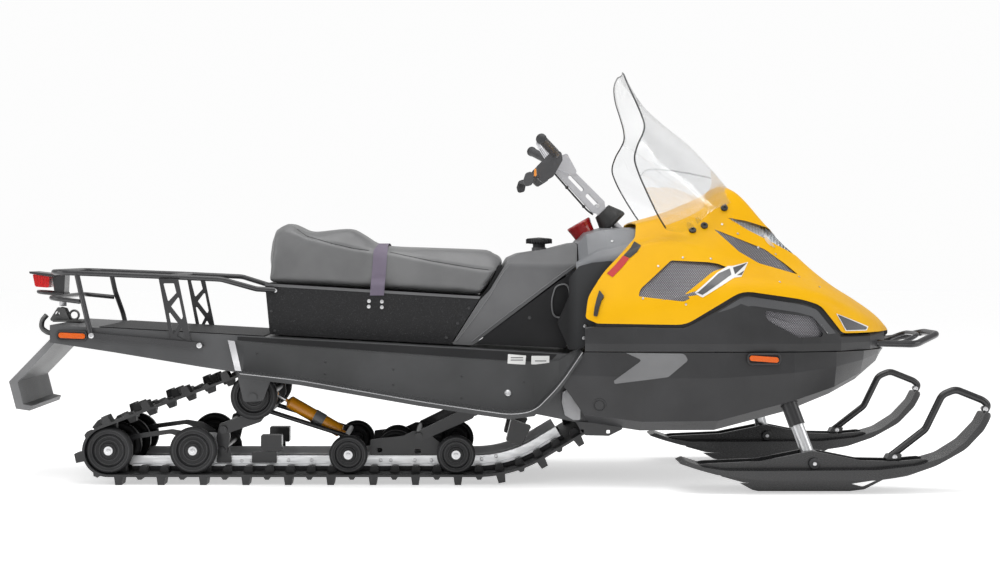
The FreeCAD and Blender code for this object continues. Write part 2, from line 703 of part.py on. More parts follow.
# base rails bolted along the tunnel's top edges
base = []
for side in (-1, 1):
    y0 = side * (half + 0.6)
    y1 = side * (half + 20)
    base.append(prism([(-1356, 518, 6), (-976, 484, 6), (-970, 470, 6), (-980, 464, 6), (-1356, 498, 6)], "XZ", y0, y1))
# a bracket on the hoop carries the tail lamp, over a small guard loop
lamp_plate = prism([(-1622, 722, 3), (-1534, 712, 3), (-1530, 706, 3), (-1534, 702, 3), (-1618, 714, 3)], "XZ", -70, 70)
lamp_post = prism([(-1546, 706, 3), (-1500, 712, 3), (-1504, 630, 3), (-1536, 630, 3)], "XZ", -40, 40)
guard = bent_rod([(-1506, -60, 640), (-1590, -56, 648), (-1604, 0, 650), (-1590, 56, 648), (-1506, 60, 640)], 6, 30)
plates = [lattice(), mirrored(lattice())]
node("rear_rack", joined(rack + plates + base + [lamp_plate, lamp_post, guard]))


# ---------------------------------------------------------------- seat box, seat and tank
box_half = size("box_half")
box_outline = [(-774, 684, 4), (-757, 508, 6), (-137.5, 473.5, 3), (-42, 624, 20), (-30, 637, 4)]
seat_box = padded_body("seat_box", "XZ", box_outline, "Sizes.box_half * 2")

# the cushion: a low front part and a raised rear part, with softened long edges
seat_outline = [
    (-772, 690, 12), (-776, 872, 30), (-752, 902, 24), (-722, 902, 20), (-668, 872, 30), (-630, 868, 40),
    (-510, 884, 60), (-414, 816, 40), (-360, 811, 40), (-120, 806, 60), (34, 792, 22), (53, 762, 14),
    (-30, 647, 24), (-66, 648, 20),
]
seat_raw = prism(seat_outline, "XZ", -size("seat_half"), size("seat_half"))
seat_width = [(-225, 646), (-225, 780, 40), (-170, 905, 60), (170, 905, 60), (225, 780, 40), (225, 646)]
seat_shape = seat_raw.common(prism(seat_width, "YZ", -800, 90))
seat_shape = seat_shape.cut(prism([(-790, 600), (-790, 689), (-22, 645), (100, 600)], "XZ", -300, 300))
node("seat", seat_shape)

# the strap lies over the cushion and down to the box on both sides, 2 mm clear of the cushion
strap_line = [(-235.5, 642), (-232.5, 642), (-232.5, 786, 16), (-208, 824.5, 16), (208, 824.5, 16), (232.5, 786, 16),
              (232.5, 642), (235.5, 642), (235.5, 787, 18), (209.5, 827.5, 18), (-209.5, 827.5, 18), (-235.5, 787, 18)]
node("seat_strap", prism(strap_line, "YZ", -406, -358))

# tank: its side outline given the crowned section of a rider's fuel tank
tank_half = size("tank_half")
tank_outline = [(-133, 474, 4), (-64, 470, 4), (296, 744, 4), (299, 826, 12), (210, 803, 60), (100, 786, 60),
                (64, 770, 20), (-2, 660, 80), (-37, 625, 80)]
tank_raw = prism(tank_outline, "XZ", -tank_half, tank_half)
tank_width = [(-232, 460), (-232, 742, 40), (-178, 838, 50), (178, 838, 50), (232, 742, 40), (232, 460)]
tank_shape = tank_raw.common(prism(tank_width, "YZ", -140, 310))
filler = rod((176, 0, 790), (176, 0, 806), 26)
node("fuel_tank", joined([tank_shape, filler]))
cap = turned_body("cap_unit", [(0, 0), (22, 0), (22, 12), (40, 14, 3), (45, 20, 3), (44, 32, 5), (0, 36)])
cap_shape = cap.Shape.copy()
cap_shape.Placement = Placement(Vector(176, 0, 806), Rotation(Vector(0, 1, 0), Vector(0, 0, 1)))
node("fuel_cap", cap_shape)

# knee panels between the tank, the tunnel and the column, with an oval pocket
knee_outline = [(-55, 476), (233, 690, 4), (290, 728), (262, 560, 20), (258, 462)]
knee_holes = [[(214, 566, 24), (262, 566, 24), (272, 640, 30), (262, 682, 24), (222, 676, 24), (206, 620, 30)]]
knees = [prism(knee_outline, "XZ", s * 246, s * 252) for s in (-1, 1)]
pocket = prism(knee_holes[0], "XZ", -260, 260)
knee_cut = [k.cut(pocket) for k in knees]
cups = [prism(knee_holes[0], "XZ", s * 238, s * 241) for s in (-1, 1)]
knee_solids = knee_cut + cups


# ---------------------------------------------------------------- hull of the nose
wall = size("hull_wall")
seam = size("seam_z")
gap = size("seam_gap")

PLAN = [
    # x, half width of the bodywork at its widest line
    (180, 418), (300, 430), (480, 448), (800, 454), (1000, 446), (1150, 402), (1260, 322), (1335, 216), (1376, 116),
]


def plan_half(x):
    rows = PLAN
    if x <= rows[0][0]:
        return rows[0][1]
    for (xa, ya), (xb, yb) in zip(rows, rows[1:]):
        if x <= xb:
            return ya + (yb - ya) * (x - xa) / (xb - xa)
    return rows[-1][1]


HULL = [
    # x, bottom height, half width of the bottom, of the turn, turn height, of the side, side height
    (200, 222, 330, 392, 256, 414, 380),
    (330, 214, 330, 406, 246, 430, 380),
    (500, 188, 330, 424, 226, 444, 372),
    (750, 190, 334, 432, 230, 450, 372),
    (1000, 256, 330, 430, 296, 448, 390),
    (1150, 308, 270, 362, 338, 394, 408),
    (1260, 350, 168, 254, 378, 302, 426),
    (1335, 396, 94, 160, 414, 196, 442),
    (1366, 430, 50, 92, 440, 118, 450),
]


def hull_section(x, low, bottom, turn, turn_z, side, side_z, inset, top):
    half = plan_half(x) - 4
    pts = [(0, low + inset), (bottom - inset * 0.4, low + inset), (turn - inset, turn_z + inset * 0.5),
           (side - inset, side_z), (half - inset, top), (0, top)]
    return section(pts, x)


def hull_loft(inset, top):
    return Part.makeLoft([hull_section(*row, inset, top) for row in HULL], True, True)


hull_outer = hull_loft(0.0, seam - gap)
hull_inner = hull_loft(wall, seam + 40)
hull_side = [(309, seam - gap), (234, 352, 10), (330, 214, 10), (380, 150), (1500, 150), (1500, seam - gap)]
hull_cutter = prism(hull_side, "XZ", -600, 600)
belly = hull_outer.common(hull_cutter)
inner_box = hull_inner.common(prism([(190, 100), (1318, 100), (1318, 520), (190, 520)], "XZ", -600, 600))
belly = belly.cut(inner_box)
rake = math.radians(size("strut_rake"))
lean = math.radians(size("strut_lean"))
strut_dir = Vector(-math.tan(rake), math.tan(lean), 1).normalize()
pivot = Vector(size("pivot_x"), -size("stance_half"), size("pivot_z"))


def on_strut(height):
    """The point of the right strut's axis at a height above the ground."""
    return pivot + strut_dir * ((height - pivot.z) / strut_dir.z)


strut_hole = Part.makeCylinder(size("strut_hole"), 400, on_strut(150), strut_dir)
belly = belly.cut(joined([strut_hole])).cut(mirrored(strut_hole))
track_room = prism([(100, 100), (494, 100), (494, 600), (100, 600)], "XZ", -half - 3, half + 3)
node("belly_pan", belly.cut(track_room))

# middle panel: the band between the seam and the hood, with a raised light bevel and a vent on each side
BAND = [
    # x, top height of the band, half width added at the top bevel
    (309, 546), (330, 549), (480, 548), (634, 545), (660, 556), (823, 650), (850, 652), (1030, 628), (1094, 608),
    (1168, 516), (1290, 514), (1376, 514),
]


def band_section(x, top, inset):
    half = plan_half(x)
    pts = [(0, seam), (half - 4 - inset, seam), (half - inset, seam + 26), (half - inset - 2, top - 10),
           (half - 12 - inset, top), (0, top)]
    return section(pts, x)


band_outer = Part.makeLoft([band_section(x, top, 0.0) for x, top in BAND], True, True)
band_inner = Part.makeLoft([band_section(x, top + 8, wall) for x, top in BAND], True, True)
band_inner.translate(Vector(-4, 0, -0.01))
middle = band_outer.cut(band_inner)
VENT = [(900, 596, 6), (1070, 572, 14), (1108, 508, 10), (1020, 506, 10), (950, 540, 14), (912, 566, 8)]
vent_cut = prism(VENT, "XZ", -600, 600)
middle = middle.cut(vent_cut)

# hood hinge at the nose: two ears on the panel hold a pin, two tongues of the hood turn on it
hinge_at = (size("hinge_x"), size("hinge_z"))
hinge_pin = disc(hinge_at[0], -50, 50, hinge_at[1], size("hinge_pin_radius"))
ear_side = [(1368, 478), (1390, 490, 6), (1403, 504, 8), (1403, 518, 8), (1393, 522, 6), (1384, 519, 6), (1368, 500)]
ears = [prism(ear_side, "XZ", s * 44, s * 50) for s in (-1, 1)]
middle = joined([middle, hinge_pin] + ears)
node("middle_panel", middle)


vent_outer = Part.makeLoft([band_section(x, top, 12.0) for x, top in BAND], True, True)
vent_inner = Part.makeLoft([band_section(x, top + 1, 14.0) for x, top in BAND], True, True)
VENT_MESH = [(888, 610, 6), (1078, 584, 14), (1124, 496, 10), (1000, 494, 10), (930, 530, 14), (896, 560, 8)]
vent_skin = vent_outer.cut(vent_inner).common(prism(VENT_MESH, "XZ", -600, 600))
vent_skin = vent_skin.common(prism([(-600, 480), (600, 480), (600, 630), (-600, 630)], "YZ", 880, 1130))
node("vent_meshes", group(vent_skin.Solids))

# ---------------------------------------------------------------- hood
HOOD = [
    # x, belt half width, belt height, shoulder half width, shoulder height, edge half width, edge height, crown
    (290, 428, 560, 366, 660, 250, 800, 806),
    (380, 440, 600, 356, 742, 236, 846, 854),
    (500, 450, 620, 352, 812, 226, 888, 897),
    (620, 453, 640, 348, 822, 214, 918, 934),
    (735, 455, 668, 340, 790, 196, 962, 984),
    (832, 455, 690, 330, 762, 176, 1004, 1024),
    (960, 450, 684, 312, 736, 190, 872, 900),
    (1090, 428, 652, 300, 694, 196, 744, 766),
    (1180, 392, 612, 280, 654, 168, 676, 688),
    (1270, 318, 570, 232, 600, 120, 624, 632),
    (1345, 208, 542, 152, 562, 76, 576, 581),
    (1388, 110, 520, 82, 530, 40, 538, 541),
]


def hood_section(x, belt, belt_z, shoulder, shoulder_z, edge, edge_z, crown, inset, low):
    half = plan_half(x)
    slope = inset * 0.8
    pts = [(0, low), (half - 8 - inset, low), (belt - inset, belt_z), (shoulder - inset, shoulder_z - slope),
           (edge - slope, edge_z - inset), (0, crown - inset * 1.1)]
    return section(pts, x)


hood_outer = Part.makeLoft([hood_section(*row, 0.0, 440) for row in HOOD], True, True)
hood_inner = Part.makeLoft([hood_section(*row, size("hood_wall"), 430) for row in HOOD], True, True)
hood_inner.translate(Vector(-3, 0, -0.01))
LOWER_EDGE = [(350, 553), (363, 551), (640, 549, 30), (828, 662, 30), (1030, 633, 30), (1092, 613, 20), (1172, 519, 14),
              (1420, 517)]
REAR_EDGE = [(498, 882, 6), (494, 1000), (840, 1200), (1420, 1200)]
hood_side = LOWER_EDGE + list(reversed(REAR_EDGE)) + [(490, 838, 10), (463, 810, 20), (386, 733, 30), (362, 702, 20),
                                                      (322, 640, 20), (311, 570, 10)]
hood_cutter = prism(hood_side, "XZ", -600, 600)
hood = hood_outer.cut(hood_inner).common(hood_cutter)
SIDE_GRILLE = [(603, 762, 6), (700, 757, 10), (770, 750, 6), (790, 738, 4), (655, 644, 4), (668, 630, 4), (636, 626, 6),
               (486, 644, 6), (496, 668, 6)]
UPPER_GRILLE = [(760, 868, 6), (935, 799, 8), (1004, 748, 8), (1040, 714, 4), (905, 752, 6), (838, 792, 6)]
LAMP = [(812, 907, 4), (876, 897, 10), (962, 872, 10), (1018, 835, 10), (1068, 770, 6), (968, 822, 10), (876, 868, 10)]
side_cut = prism(SIDE_GRILLE, "XZ", -600, 600)
upper_cut = prism(UPPER_GRILLE, "XZ", -600, 600)
lamp_cut = prism(LAMP, "XZ", -600, 600)
hood = hood.cut(side_cut).cut(upper_cut).cut(lamp_cut)
tongue_side = [(hinge_at[0] - 11, hinge_at[1] - 11, 11), (hinge_at[0] + 11, hinge_at[1] - 11, 11),
               (hinge_at[0] + 11, hinge_at[1] + 10, 9), (1389, 536, 2), (1384.6, 536, 2), (hinge_at[0] - 11, 520, 4)]
tongues = [prism(tongue_side, "XZ", s * 20, s * 32) for s in (-1, 1)]
notches = [prism([(1366, 500), (1400, 500), (1400, 529), (1366, 529)], "XZ", s * 38, s * 56) for s in (-1, 1)]
hood = joined([hood.cut(joined(notches))] + tongues)
hood = hood.cut(disc(hinge_at[0], -60, 60, hinge_at[1], size("hinge_pin_radius") + 0.05))
node("hood", hood)


def under_skin(points, inset, thick, grow=1.0):
    """A thin panel that closes an opening of the hood, a few millimetres inside its wall."""
    high = Part.makeLoft([hood_section(*row, inset, 420) for row in HOOD], True, True)
    low = Part.makeLoft([hood_section(*row, inset + thick, 410) for row in HOOD], True, True)
    low.translate(Vector(-1, 0, -0.01))
    high.translate(Vector(-3, 0, 0))
    low.translate(Vector(-3, 0, 0))
    return high.cut(low).common(prism(points, "XZ", -600, 600))


def grown(points, by):
    """An outline pushed outwards from its own middle, for the panel behind an opening."""
    cx = sum(p[0] for p in points) / len(points)
    cz = sum(p[1] for p in points) / len(points)
    out = []
    for p in points:
        reach = math.hypot(p[0] - cx, p[1] - cz)
        scale = (reach + by) / reach
        out.append((cx + (p[0] - cx) * scale, cz + (p[1] - cz) * scale, 4))
    return out


grille_skin = under_skin(grown(SIDE_GRILLE, 12), 6.0, 3.0)
upper_skin = under_skin(grown(UPPER_GRILLE, 12), 6.0, 3.0)
lamp_skin = under_skin(grown(LAMP, 10), 5.0, 4.0)
node("hood_grilles", group(grille_skin.Solids + upper_skin.Solids))
node("headlamps", group(lamp_skin.Solids))


# ---------------------------------------------------------------- column panels and dash
COLUMN = [(296, 742, 6), (340, 754, 10), (404, 760, 6), (428, 740, 10), (404, 700, 20), (376, 650, 20), (358, 575, 10),
          (358, 528, 8), (306, 466, 4), (262, 460, 6), (222, 552, 20), (262, 640, 20), (262, 700, 10)]
columns = [prism(COLUMN, "XZ", s * 330, s * 336) for s in (-1, 1)]
node("side_panels", group(columns + knee_solids))

DASH = [
    # x, outer half width, outer height, edge half width, edge height, crown
    (301, 300, 742, 190, 818, 826), (330, 314, 762, 194, 850, 860), (392, 314, 780, 198, 866, 876),
    (470, 306, 800, 196, 868, 878), (516, 300, 806, 194, 868, 878),
]


def dash_section(x, outer, outer_z, edge, edge_z, crown, inset):
    pts = [(0, 700 - inset), (outer - inset, 700 - inset), (outer - inset, outer_z - inset),
           (edge - inset, edge_z - inset), (0, crown - inset)]
    return section(pts, x)


dash_outer = Part.makeLoft([dash_section(*row, 0.0) for row in DASH], True, True)
dash_inner = Part.makeLoft([dash_section(*row, 4.0) for row in DASH], True, True)
dash_inner.translate(Vector(4, 0, -0.01))
dash = dash_outer.cut(dash_inner)
under = prism([(296, 690), (520, 690), (520, 815), (470, 812), (360, 786), (296, 734)], "XZ", -400, 400)
dash = dash.cut(under)
column_lean = math.radians(size("column_lean"))
column_dir = Vector(-math.sin(column_lean), 0, math.cos(column_lean))
column_foot = Vector(size("column_x"), 0, size("column_z"))
column_hole = Part.makeCylinder(36, 300, column_foot - column_dir * 150, column_dir)
dash = dash.cut(column_hole)
node("dash", dash)

gauge = turned_body("gauge_unit", [(0, -30), (36, -30), (42, 10, 4), (46, 26, 4), (42, 32, 3), (39, 27), (0, 27)])
gauge_shape = gauge.Shape.copy()
gauge_shape.Placement = Placement(Vector(330, 0, 866), Rotation(Vector(0, 1, 0), Vector(-0.5, 0, 0.86)))
gauge_above = gauge_shape.cut(dash_outer).cut(tank_raw)
node("gauge_pod", sorted(gauge_above.Solids, key=lambda s: -s.Volume)[0])

# rubber boot round the column: a low cone with a bead
boot = turned_body("boot_unit", [(30, 0), (52, 0), (54, 8, 3), (50, 22, 8), (42, 40, 8), (33, 62, 2), (29, 62), (29, 20)])
boot_shape = boot.Shape.copy()
boot_shape.Placement = Placement(column_foot - column_dir * 10, Rotation(Vector(0, 1, 0), column_dir))
boot_shape = boot_shape.cut(dash_outer)
boot_solids = sorted(boot_shape.Solids, key=lambda s: -s.Volume)
node("column_boot", boot_solids[0])

# ---------------------------------------------------------------- engine and inner frame
node("engine", prism([(505, 300, 20), (770, 300, 20), (770, 620, 30), (570, 640, 30), (505, 560, 20)], "XZ", -210, 210))
tower = []
for side in (-1, 1):
    top = on_strut(600)
    sleeve = rod(on_strut(214), on_strut(600), size("sleeve_radius"), size("leg_bore"))
    tower.append(sleeve if side < 0 else mirrored(sleeve))
cross_low = prism([(880, 430, 4), (960, 430, 4), (960, 470, 4), (880, 470, 4)], "XZ", -385, 385)
cross_low = cross_low.cut(Part.makeCylinder(size("leg_bore"), 600, on_strut(150), strut_dir))
cross_low = cross_low.cut(mirrored(Part.makeCylinder(size("leg_bore"), 600, on_strut(150), strut_dir)))
keel = []
for side in (-1, 1):
    y = side * 330
    keel.append(prism([(282, 222), (300, 190, 8), (316, 172, 6), (396, 170, 6), (440, 192, 6), (452, 226)], "XZ", y - 4, y + 4,
                      holes=[[(300, 180, 3), (312, 180, 3), (312, 192, 3), (300, 192, 3)],
                             [(388, 178, 3), (400, 178, 3), (400, 190, 3), (388, 190, 3)]]))
keel = [k.cut(hull_outer) for k in keel]
node("front_frame", group([joined(tower + [cross_low])] + keel))
casting = [prism([(262, 330, 10), (240, 318, 8), (238, 284, 10), (248, 240, 8), (276, 224, 6), (300, 224, 6), (300, 330, 10)],
                 "XZ", s * 315, s * 338) for s in (-1, 1)]
node("drive_housings", group(casting))

# ---------------------------------------------------------------- front bumper
bumper = [
    bent_rod([(1318, -190, 476), (1466, -196, 472), (1566, -88, 502), (1566, 88, 502), (1466, 196, 472),
              (1318, 190, 476)], 12, 50),
    bent_rod([(1330, -120, 474), (1440, -120, 474), (1500, -96, 500), (1504, 0, 502), (1500, 96, 500),
              (1440, 120, 474), (1330, 120, 474)], 8, 50),
]
bars = [rod((1450, -190, 473), (1440, -118, 474), 7), rod((1450, 190, 473), (1440, 118, 474), 7)]
tray = prism([(1330, 470), (1452, 466), (1452, 470), (1330, 474)], "XZ", -118, 118)
bumper_all = joined(bumper + bars + [tray]).cut(band_outer)
node("front_bumper", sorted(bumper_all.Solids, key=lambda s: -s.Volume)[0])

# ---------------------------------------------------------------- windshield
SCREEN = [
    # height, half width, centre x, edge x
    (850, 286, 914, 606), (905, 338, 900, 566), (950, 372, 890, 539), (1000, 402, 850, 512), (1050, 422, 809, 488),
    (1100, 430, 764, 473), (1150, 420, 717, 486), (1180, 400, 682, 502), (1210, 370, 643, 513),
    (1245, 338, 598, 508), (1290, 312, 547, 493), (1340, 282, 509, 474), (1380, 232, 486, 463),
    (1403, 180, 476, 461), (1418, 96, 471, 464),
]


def screen_rib(height, width, centre_x, edge_x, thick):
    """A bowed rib of the screen: a flat band closed by two arcs."""
    def bow(shift):
        a = Vector(edge_x - shift * 0.3, -width + shift, height)
        b = Vector(centre_x - shift, 0, height)
        c = Vector(edge_x - shift * 0.3, width - shift, height)
        return a, b, c
    a, b, c = bow(0.0)
    d, e, f = bow(thick)
    return Part.Wire([Part.Arc(a, b, c).toShape(), Part.makeLine(c, f), Part.Arc(f, e, d).toShape(), Part.makeLine(d, a)])


screen = Part.makeLoft([screen_rib(*row, 3.0) for row in SCREEN], True, True)
hood_block = Part.makeLoft([hood_section(*row, -2.0, 440) for row in HOOD], True, True)
screen = screen.cut(hood_block)
screen_solids = sorted(screen.Solids, key=lambda s: -s.Volume)
node("windshield", screen_solids[0])

# ---------------------------------------------------------------- handlebar
def on_column(reach):
    return column_foot + column_dir * reach


across = Vector(0, 1, 0)
front_dir = column_dir.cross(across) * -1
spine = []
for side in (-1, 1):
    base = on_column(20)
    y = side * 19
    spine.append(prism([(0, -17, 6), (44, -17, 6), (60, -29, 8), (262, -24, 8), (262, 24, 8), (60, 29, 8),
                        (44, 17, 6), (0, 17, 6)], "XZ", y - 2.5, y + 2.5,
                       holes=[[(64, -8, 7), (122, -8, 7), (122, 8, 7), (64, 8, 7)],
                              [(140, -7, 6), (212, -7, 6), (212, 7, 6), (140, 7, 6)]]))
spine.append(prism([(4, -19), (250, -19), (250, 19), (4, 19)], "XY", 17, 21))
spine.append(Part.makeCylinder(10, 50, Vector(26, -25, 0), Vector(0, 1, 0)))
riser = joined(spine)
riser.Placement = Placement(on_column(12), Rotation(Vector(1, 0, 0), column_dir))
lower_stub = Part.makeCylinder(14, 90, on_column(-50), column_dir)
top_at = on_column(size("column_reach"))
clamp_block = prism([(-20, -18, 10), (18, -28, 6), (44, -42, 8), (74, -36, 8), (36, 34, 8), (12, 24, 8), (-14, 18, 10)],
                    "XZ", -36, 36)
clamp_block.translate(top_at)
node("steering_riser", joined([riser, lower_stub]))

bar_points = [(0, 0, 0), (0, 66, 0), (-10, 214, 18), (-70, 378, 62)]
right = [(top_at.x + dx, -y, top_at.z + dz) for dx, y, dz in reversed(bar_points[1:])]
left = [(top_at.x + dx, y, top_at.z + dz) for dx, y, dz in bar_points[1:]]
bar = bent_rod(right + left, size("bar_radius"), 60)
# a padded grab hoop stands on the middle of the bar
hoop_route = [(-12, -52, 0), (-58, -46, 72), (-58, 46, 72), (-12, 52, 0)]
grab_hoop = bent_rod([(top_at.x + dx, y, top_at.z + dz) for dx, y, dz in hoop_route], 13, 30)
node("handlebar", joined([bar, clamp_block, grab_hoop]).cut(joined([riser])))
grips = []
controls = []
for side in (-1, 1):
    inner = top_at + Vector(-18.8, side * 238, 24.4)
    outer = top_at + Vector(-70.7, side * 380, 62.5)
    grip = rod(tuple(inner), tuple(outer), size("grip_radius"), 0)
    grips.append(grip.cut(bar))
    at = top_at + Vector(-8, side * 196, 14)
    pod = prism([(-70, -34, 8), (-18, 18, 12), (14, 16, 12), (18, -14, 12), (-14, -70, 12), (-50, -92, 10), (-70, -74, 10)],
                "XZ", -22, 22)
    pod.translate(at)
    pod = pod.cut(bar)
    lever = bent_rod([tuple(at + Vector(-50, 0, -66)), tuple(at + Vector(-84, side * 36, -74)),
                      tuple(at + Vector(-110, side * 140, -70))], 6, 30)
    tip = prism([(-116, -110, 10), (-92, -104, 10), (-86, -72, 10), (-96, -58, 8), (-114, -64, 10), (-122, -88, 12)],
                "XZ", side * 140 - 8, side * 140 + 8)
    tip.translate(Vector(at.x, at.y, at.z))
    controls += [joined([pod, lever, tip])]
node("hand_controls", group(grips + controls))


# ---------------------------------------------------------------- ski legs and skis
leg_foot = on_strut(128)
leg_top = on_strut(560)
tube_solid = rod(tuple(leg_foot), tuple(leg_top), size("leg_radius"))
fork = prism([(-29, -22, 20), (-12, -30, 20), (12, -30, 20), (29, -22, 20), (31, 8, 14), (12, 40, 10), (-30, 40, 10),
              (-36, 10, 10)], "XZ", -30, 30)
fork.translate(pivot)
pin = disc(pivot.x, pivot.y - 60, pivot.y + 60, pivot.z, size("ski_pin_radius"))
heads = [disc(pivot.x, pivot.y + s * 52.4, pivot.y + s * 63, pivot.z, 16) for s in (-1, 1)]
leg = joined([tube_solid, fork, pin] + heads)
node("ski_leg_right", leg)
node("ski_leg_left", mirrored(leg))

px = size("pivot_x")
pz = size("pivot_z")
py = -size("stance_half")
ski_side = [
    (610, 100, 6), (632, 108, 10), (690, 88, 60), (760, 78, 100), (890, 78, 100), (1250, 80, 200), (1390, 94, 120),
    (1480, 122, 100), (1548, 168, 80), (1600, 226, 40), (1618, 262, 8), (1636, 262, 6), (1640, 250, 6),
    (1612, 204, 60), (1550, 144, 100), (1450, 92, 150), (1350, 60, 150), (1250, 46, 200), (890, 46, 200),
    (730, 64, 100), (655, 84, 60), (616, 96, 6),
]
sole = prism(ski_side, "XZ", py - size("ski_half"), py + size("ski_half"))
ski_plan = [(600, -56, 20), (680, -88, 60), (860, -102, 200), (1300, -94, 200), (1500, -68, 100), (1645, -40, 30),
            (1645, 40, 30), (1500, 68, 100), (1300, 94, 200), (860, 102, 200), (680, 88, 60), (600, 56, 20)]
plan = prism(ski_plan, "XY", 0, 400)
plan.translate(Vector(0, py, 0))
sole = sole.common(plan)
# two upright ribs stiffen the ski and carry the pivot pin between them
ribs = []
rib_side = [(650, 86), (700, 96, 40), (880, 104, 80), (980, 124, 60), (1050, 138, 40), (1120, 124, 60), (1210, 106, 80),
            (1330, 104, 80), (1420, 112, 60), (1440, 100), (1400, 70), (1000, 60), (700, 74)]
for side in (-1, 1):
    y = py + side * 45
    ribs.append(prism(rib_side, "XZ", y - 7, y + 7))
keel_ski = prism([(700, 66, 20), (830, 30, 60), (950, 26, 40), (1180, 26, 40), (1300, 44, 60), (1390, 70, 20), (1300, 66),
                  (820, 62)], "XZ", py - 22, py + 22)
ski_body = joined([sole, keel_ski] + ribs)
slot = prism([(px - 60, 60, 6), (px + 60, 60, 6), (px + 60, 200, 6), (px - 60, 200, 6)], "XZ", py - 38, py + 38)
ski_body = ski_body.cut(slot)
ski_body = ski_body.cut(disc(px, py - 100, py + 100, pz, size("ski_pin_radius") + 0.05))
# steel runner under the keel, with carbide tips
runner = prism([(820, 26), (860, 4, 20), (880, 0, 10), (1180, 0, 10), (1230, 6, 20), (1296, 40), (1290, 43),
                (1226, 14, 20), (1180, 26, 6), (950, 26, 6)], "XZ", py - 5, py + 5)
loop = bent_rod([(1318, py, 116), (1432, py, 204), (1488, py, 318), (1532, py, 336), (1622, py, 300), (1640, py, 284),
                 (1628, py, 262)], size("ski_tube_radius"), 40)
foot_plate = prism([(1296, 104, 4), (1344, 108, 4), (1352, 128, 6), (1306, 122, 6)], "XZ", py - 24, py + 24)
ski_all = joined([ski_body, runner, loop, foot_plate])
node("ski_right", ski_all)
node("ski_left", mirrored(ski_all))


# ---------------------------------------------------------------- rear lamp, hitch, flap and reflectors
lens = prism([(-1611, 712, 3), (-1552, 703, 3), (-1554, 664, 6), (-1602, 668, 8)], "XZ", -58, 58)
node("tail_lamp", lens)
hitch_base = prism([(-1540, 550, 3), (-1440, 550, 3), (-1440, 543.4), (-1540, 543.4)], "XZ", -60, 60)
jaws = [prism([(-1560, 546, 6), (-1528, 596, 8), (-1506, 590, 8), (-1486, 546, 3)], "XZ", s * 26 - 4, s * 26 + 4)
        for s in (-1, 1)]
hitch_hole = disc(-1530, -80, 80, 572, size("hitch_bore_radius"))
ring = Part.makeTorus(16, 4, Vector(-1476, 0, 566), Vector(0, 1, 0))
hook = bent_rod([(-1496, 0, 518), (-1566, 0, 500), (-1594, 0, 520), (-1590, 0, 548), (-1574, 0, 566)], 9, 30)
hook_plate = prism([(-24, 502, 4), (24, 502, 4), (24, 538, 4), (-24, 538, 4)], "YZ", -1500, -1493.4)
hook = hook.cut(prism([(-30, 480), (30, 480), (30, 560), (-30, 560)], "YZ", -1493.4, -1470))
node("tow_hitch", joined([hitch_base, ring, hook, hook_plate] + jaws).cut(hitch_hole))
flap_section = [(-1494, 500), (-1502, 500), (-1651, 346), (-1627, 253), (-1580, 246), (-1573, 262), (-1602, 268),
                (-1622, 344), (-1520, 450), (-1494, 480)]
flap = prism(flap_section, "XZ", -232, 232)
node("snow_flap", flap)
rear_ref = prism([(-1462, 500, 9), (-1372, 496, 9), (-1372, 514, 9), (-1462, 518, 9)], "XZ", -half - 8, -half - 1)
front_ref = prism([(850, 431, 8), (946, 424, 8), (946, 442, 8), (850, 449, 8)], "XZ", -462, -453)
node("reflectors", group(both(rear_ref) + both(front_ref)))


# ---------------------------------------------------------------- checks and files
doc.recompute()
for item in doc.Objects:
    states = [s for s in item.State if s in ("Invalid", "Error")]
    if states:
        raise RuntimeError("%s is %s" % (item.Label, states))
os.makedirs("parts", exist_ok=True)
for item in NODES:
    shape = item.Shape
    if shape.isNull() or not shape.isValid() or not shape.Solids:
        raise RuntimeError("%s has no valid shape" % item.Label)
    box = shape.BoundBox
    print("%-22s solids %2d  x %7.0f %7.0f  y %6.0f %6.0f  z %6.0f %6.0f"
          % (item.Label, len(shape.Solids), box.XMin, box.XMax, box.YMin, box.YMax, box.ZMin, box.ZMax))
for item in NODES:
    item.Shape.exportStep("parts/%s.step" % item.Label)
print("%d nodes" % len(NODES))
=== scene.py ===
# %% [markdown]
# # A wide-track utility snowmobile
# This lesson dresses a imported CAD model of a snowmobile: a drive track on slide rails, two skis,
# a grey belly and a yellow hood, a tall clear screen, a bench seat and a luggage rack.
# The CAD model is loaded first and never changes its place. Some of its pieces only get a better
# finish, and the soft, curved or richly detailed ones are modelled anew over it.

# %% Load the fixed frame
import json
import math

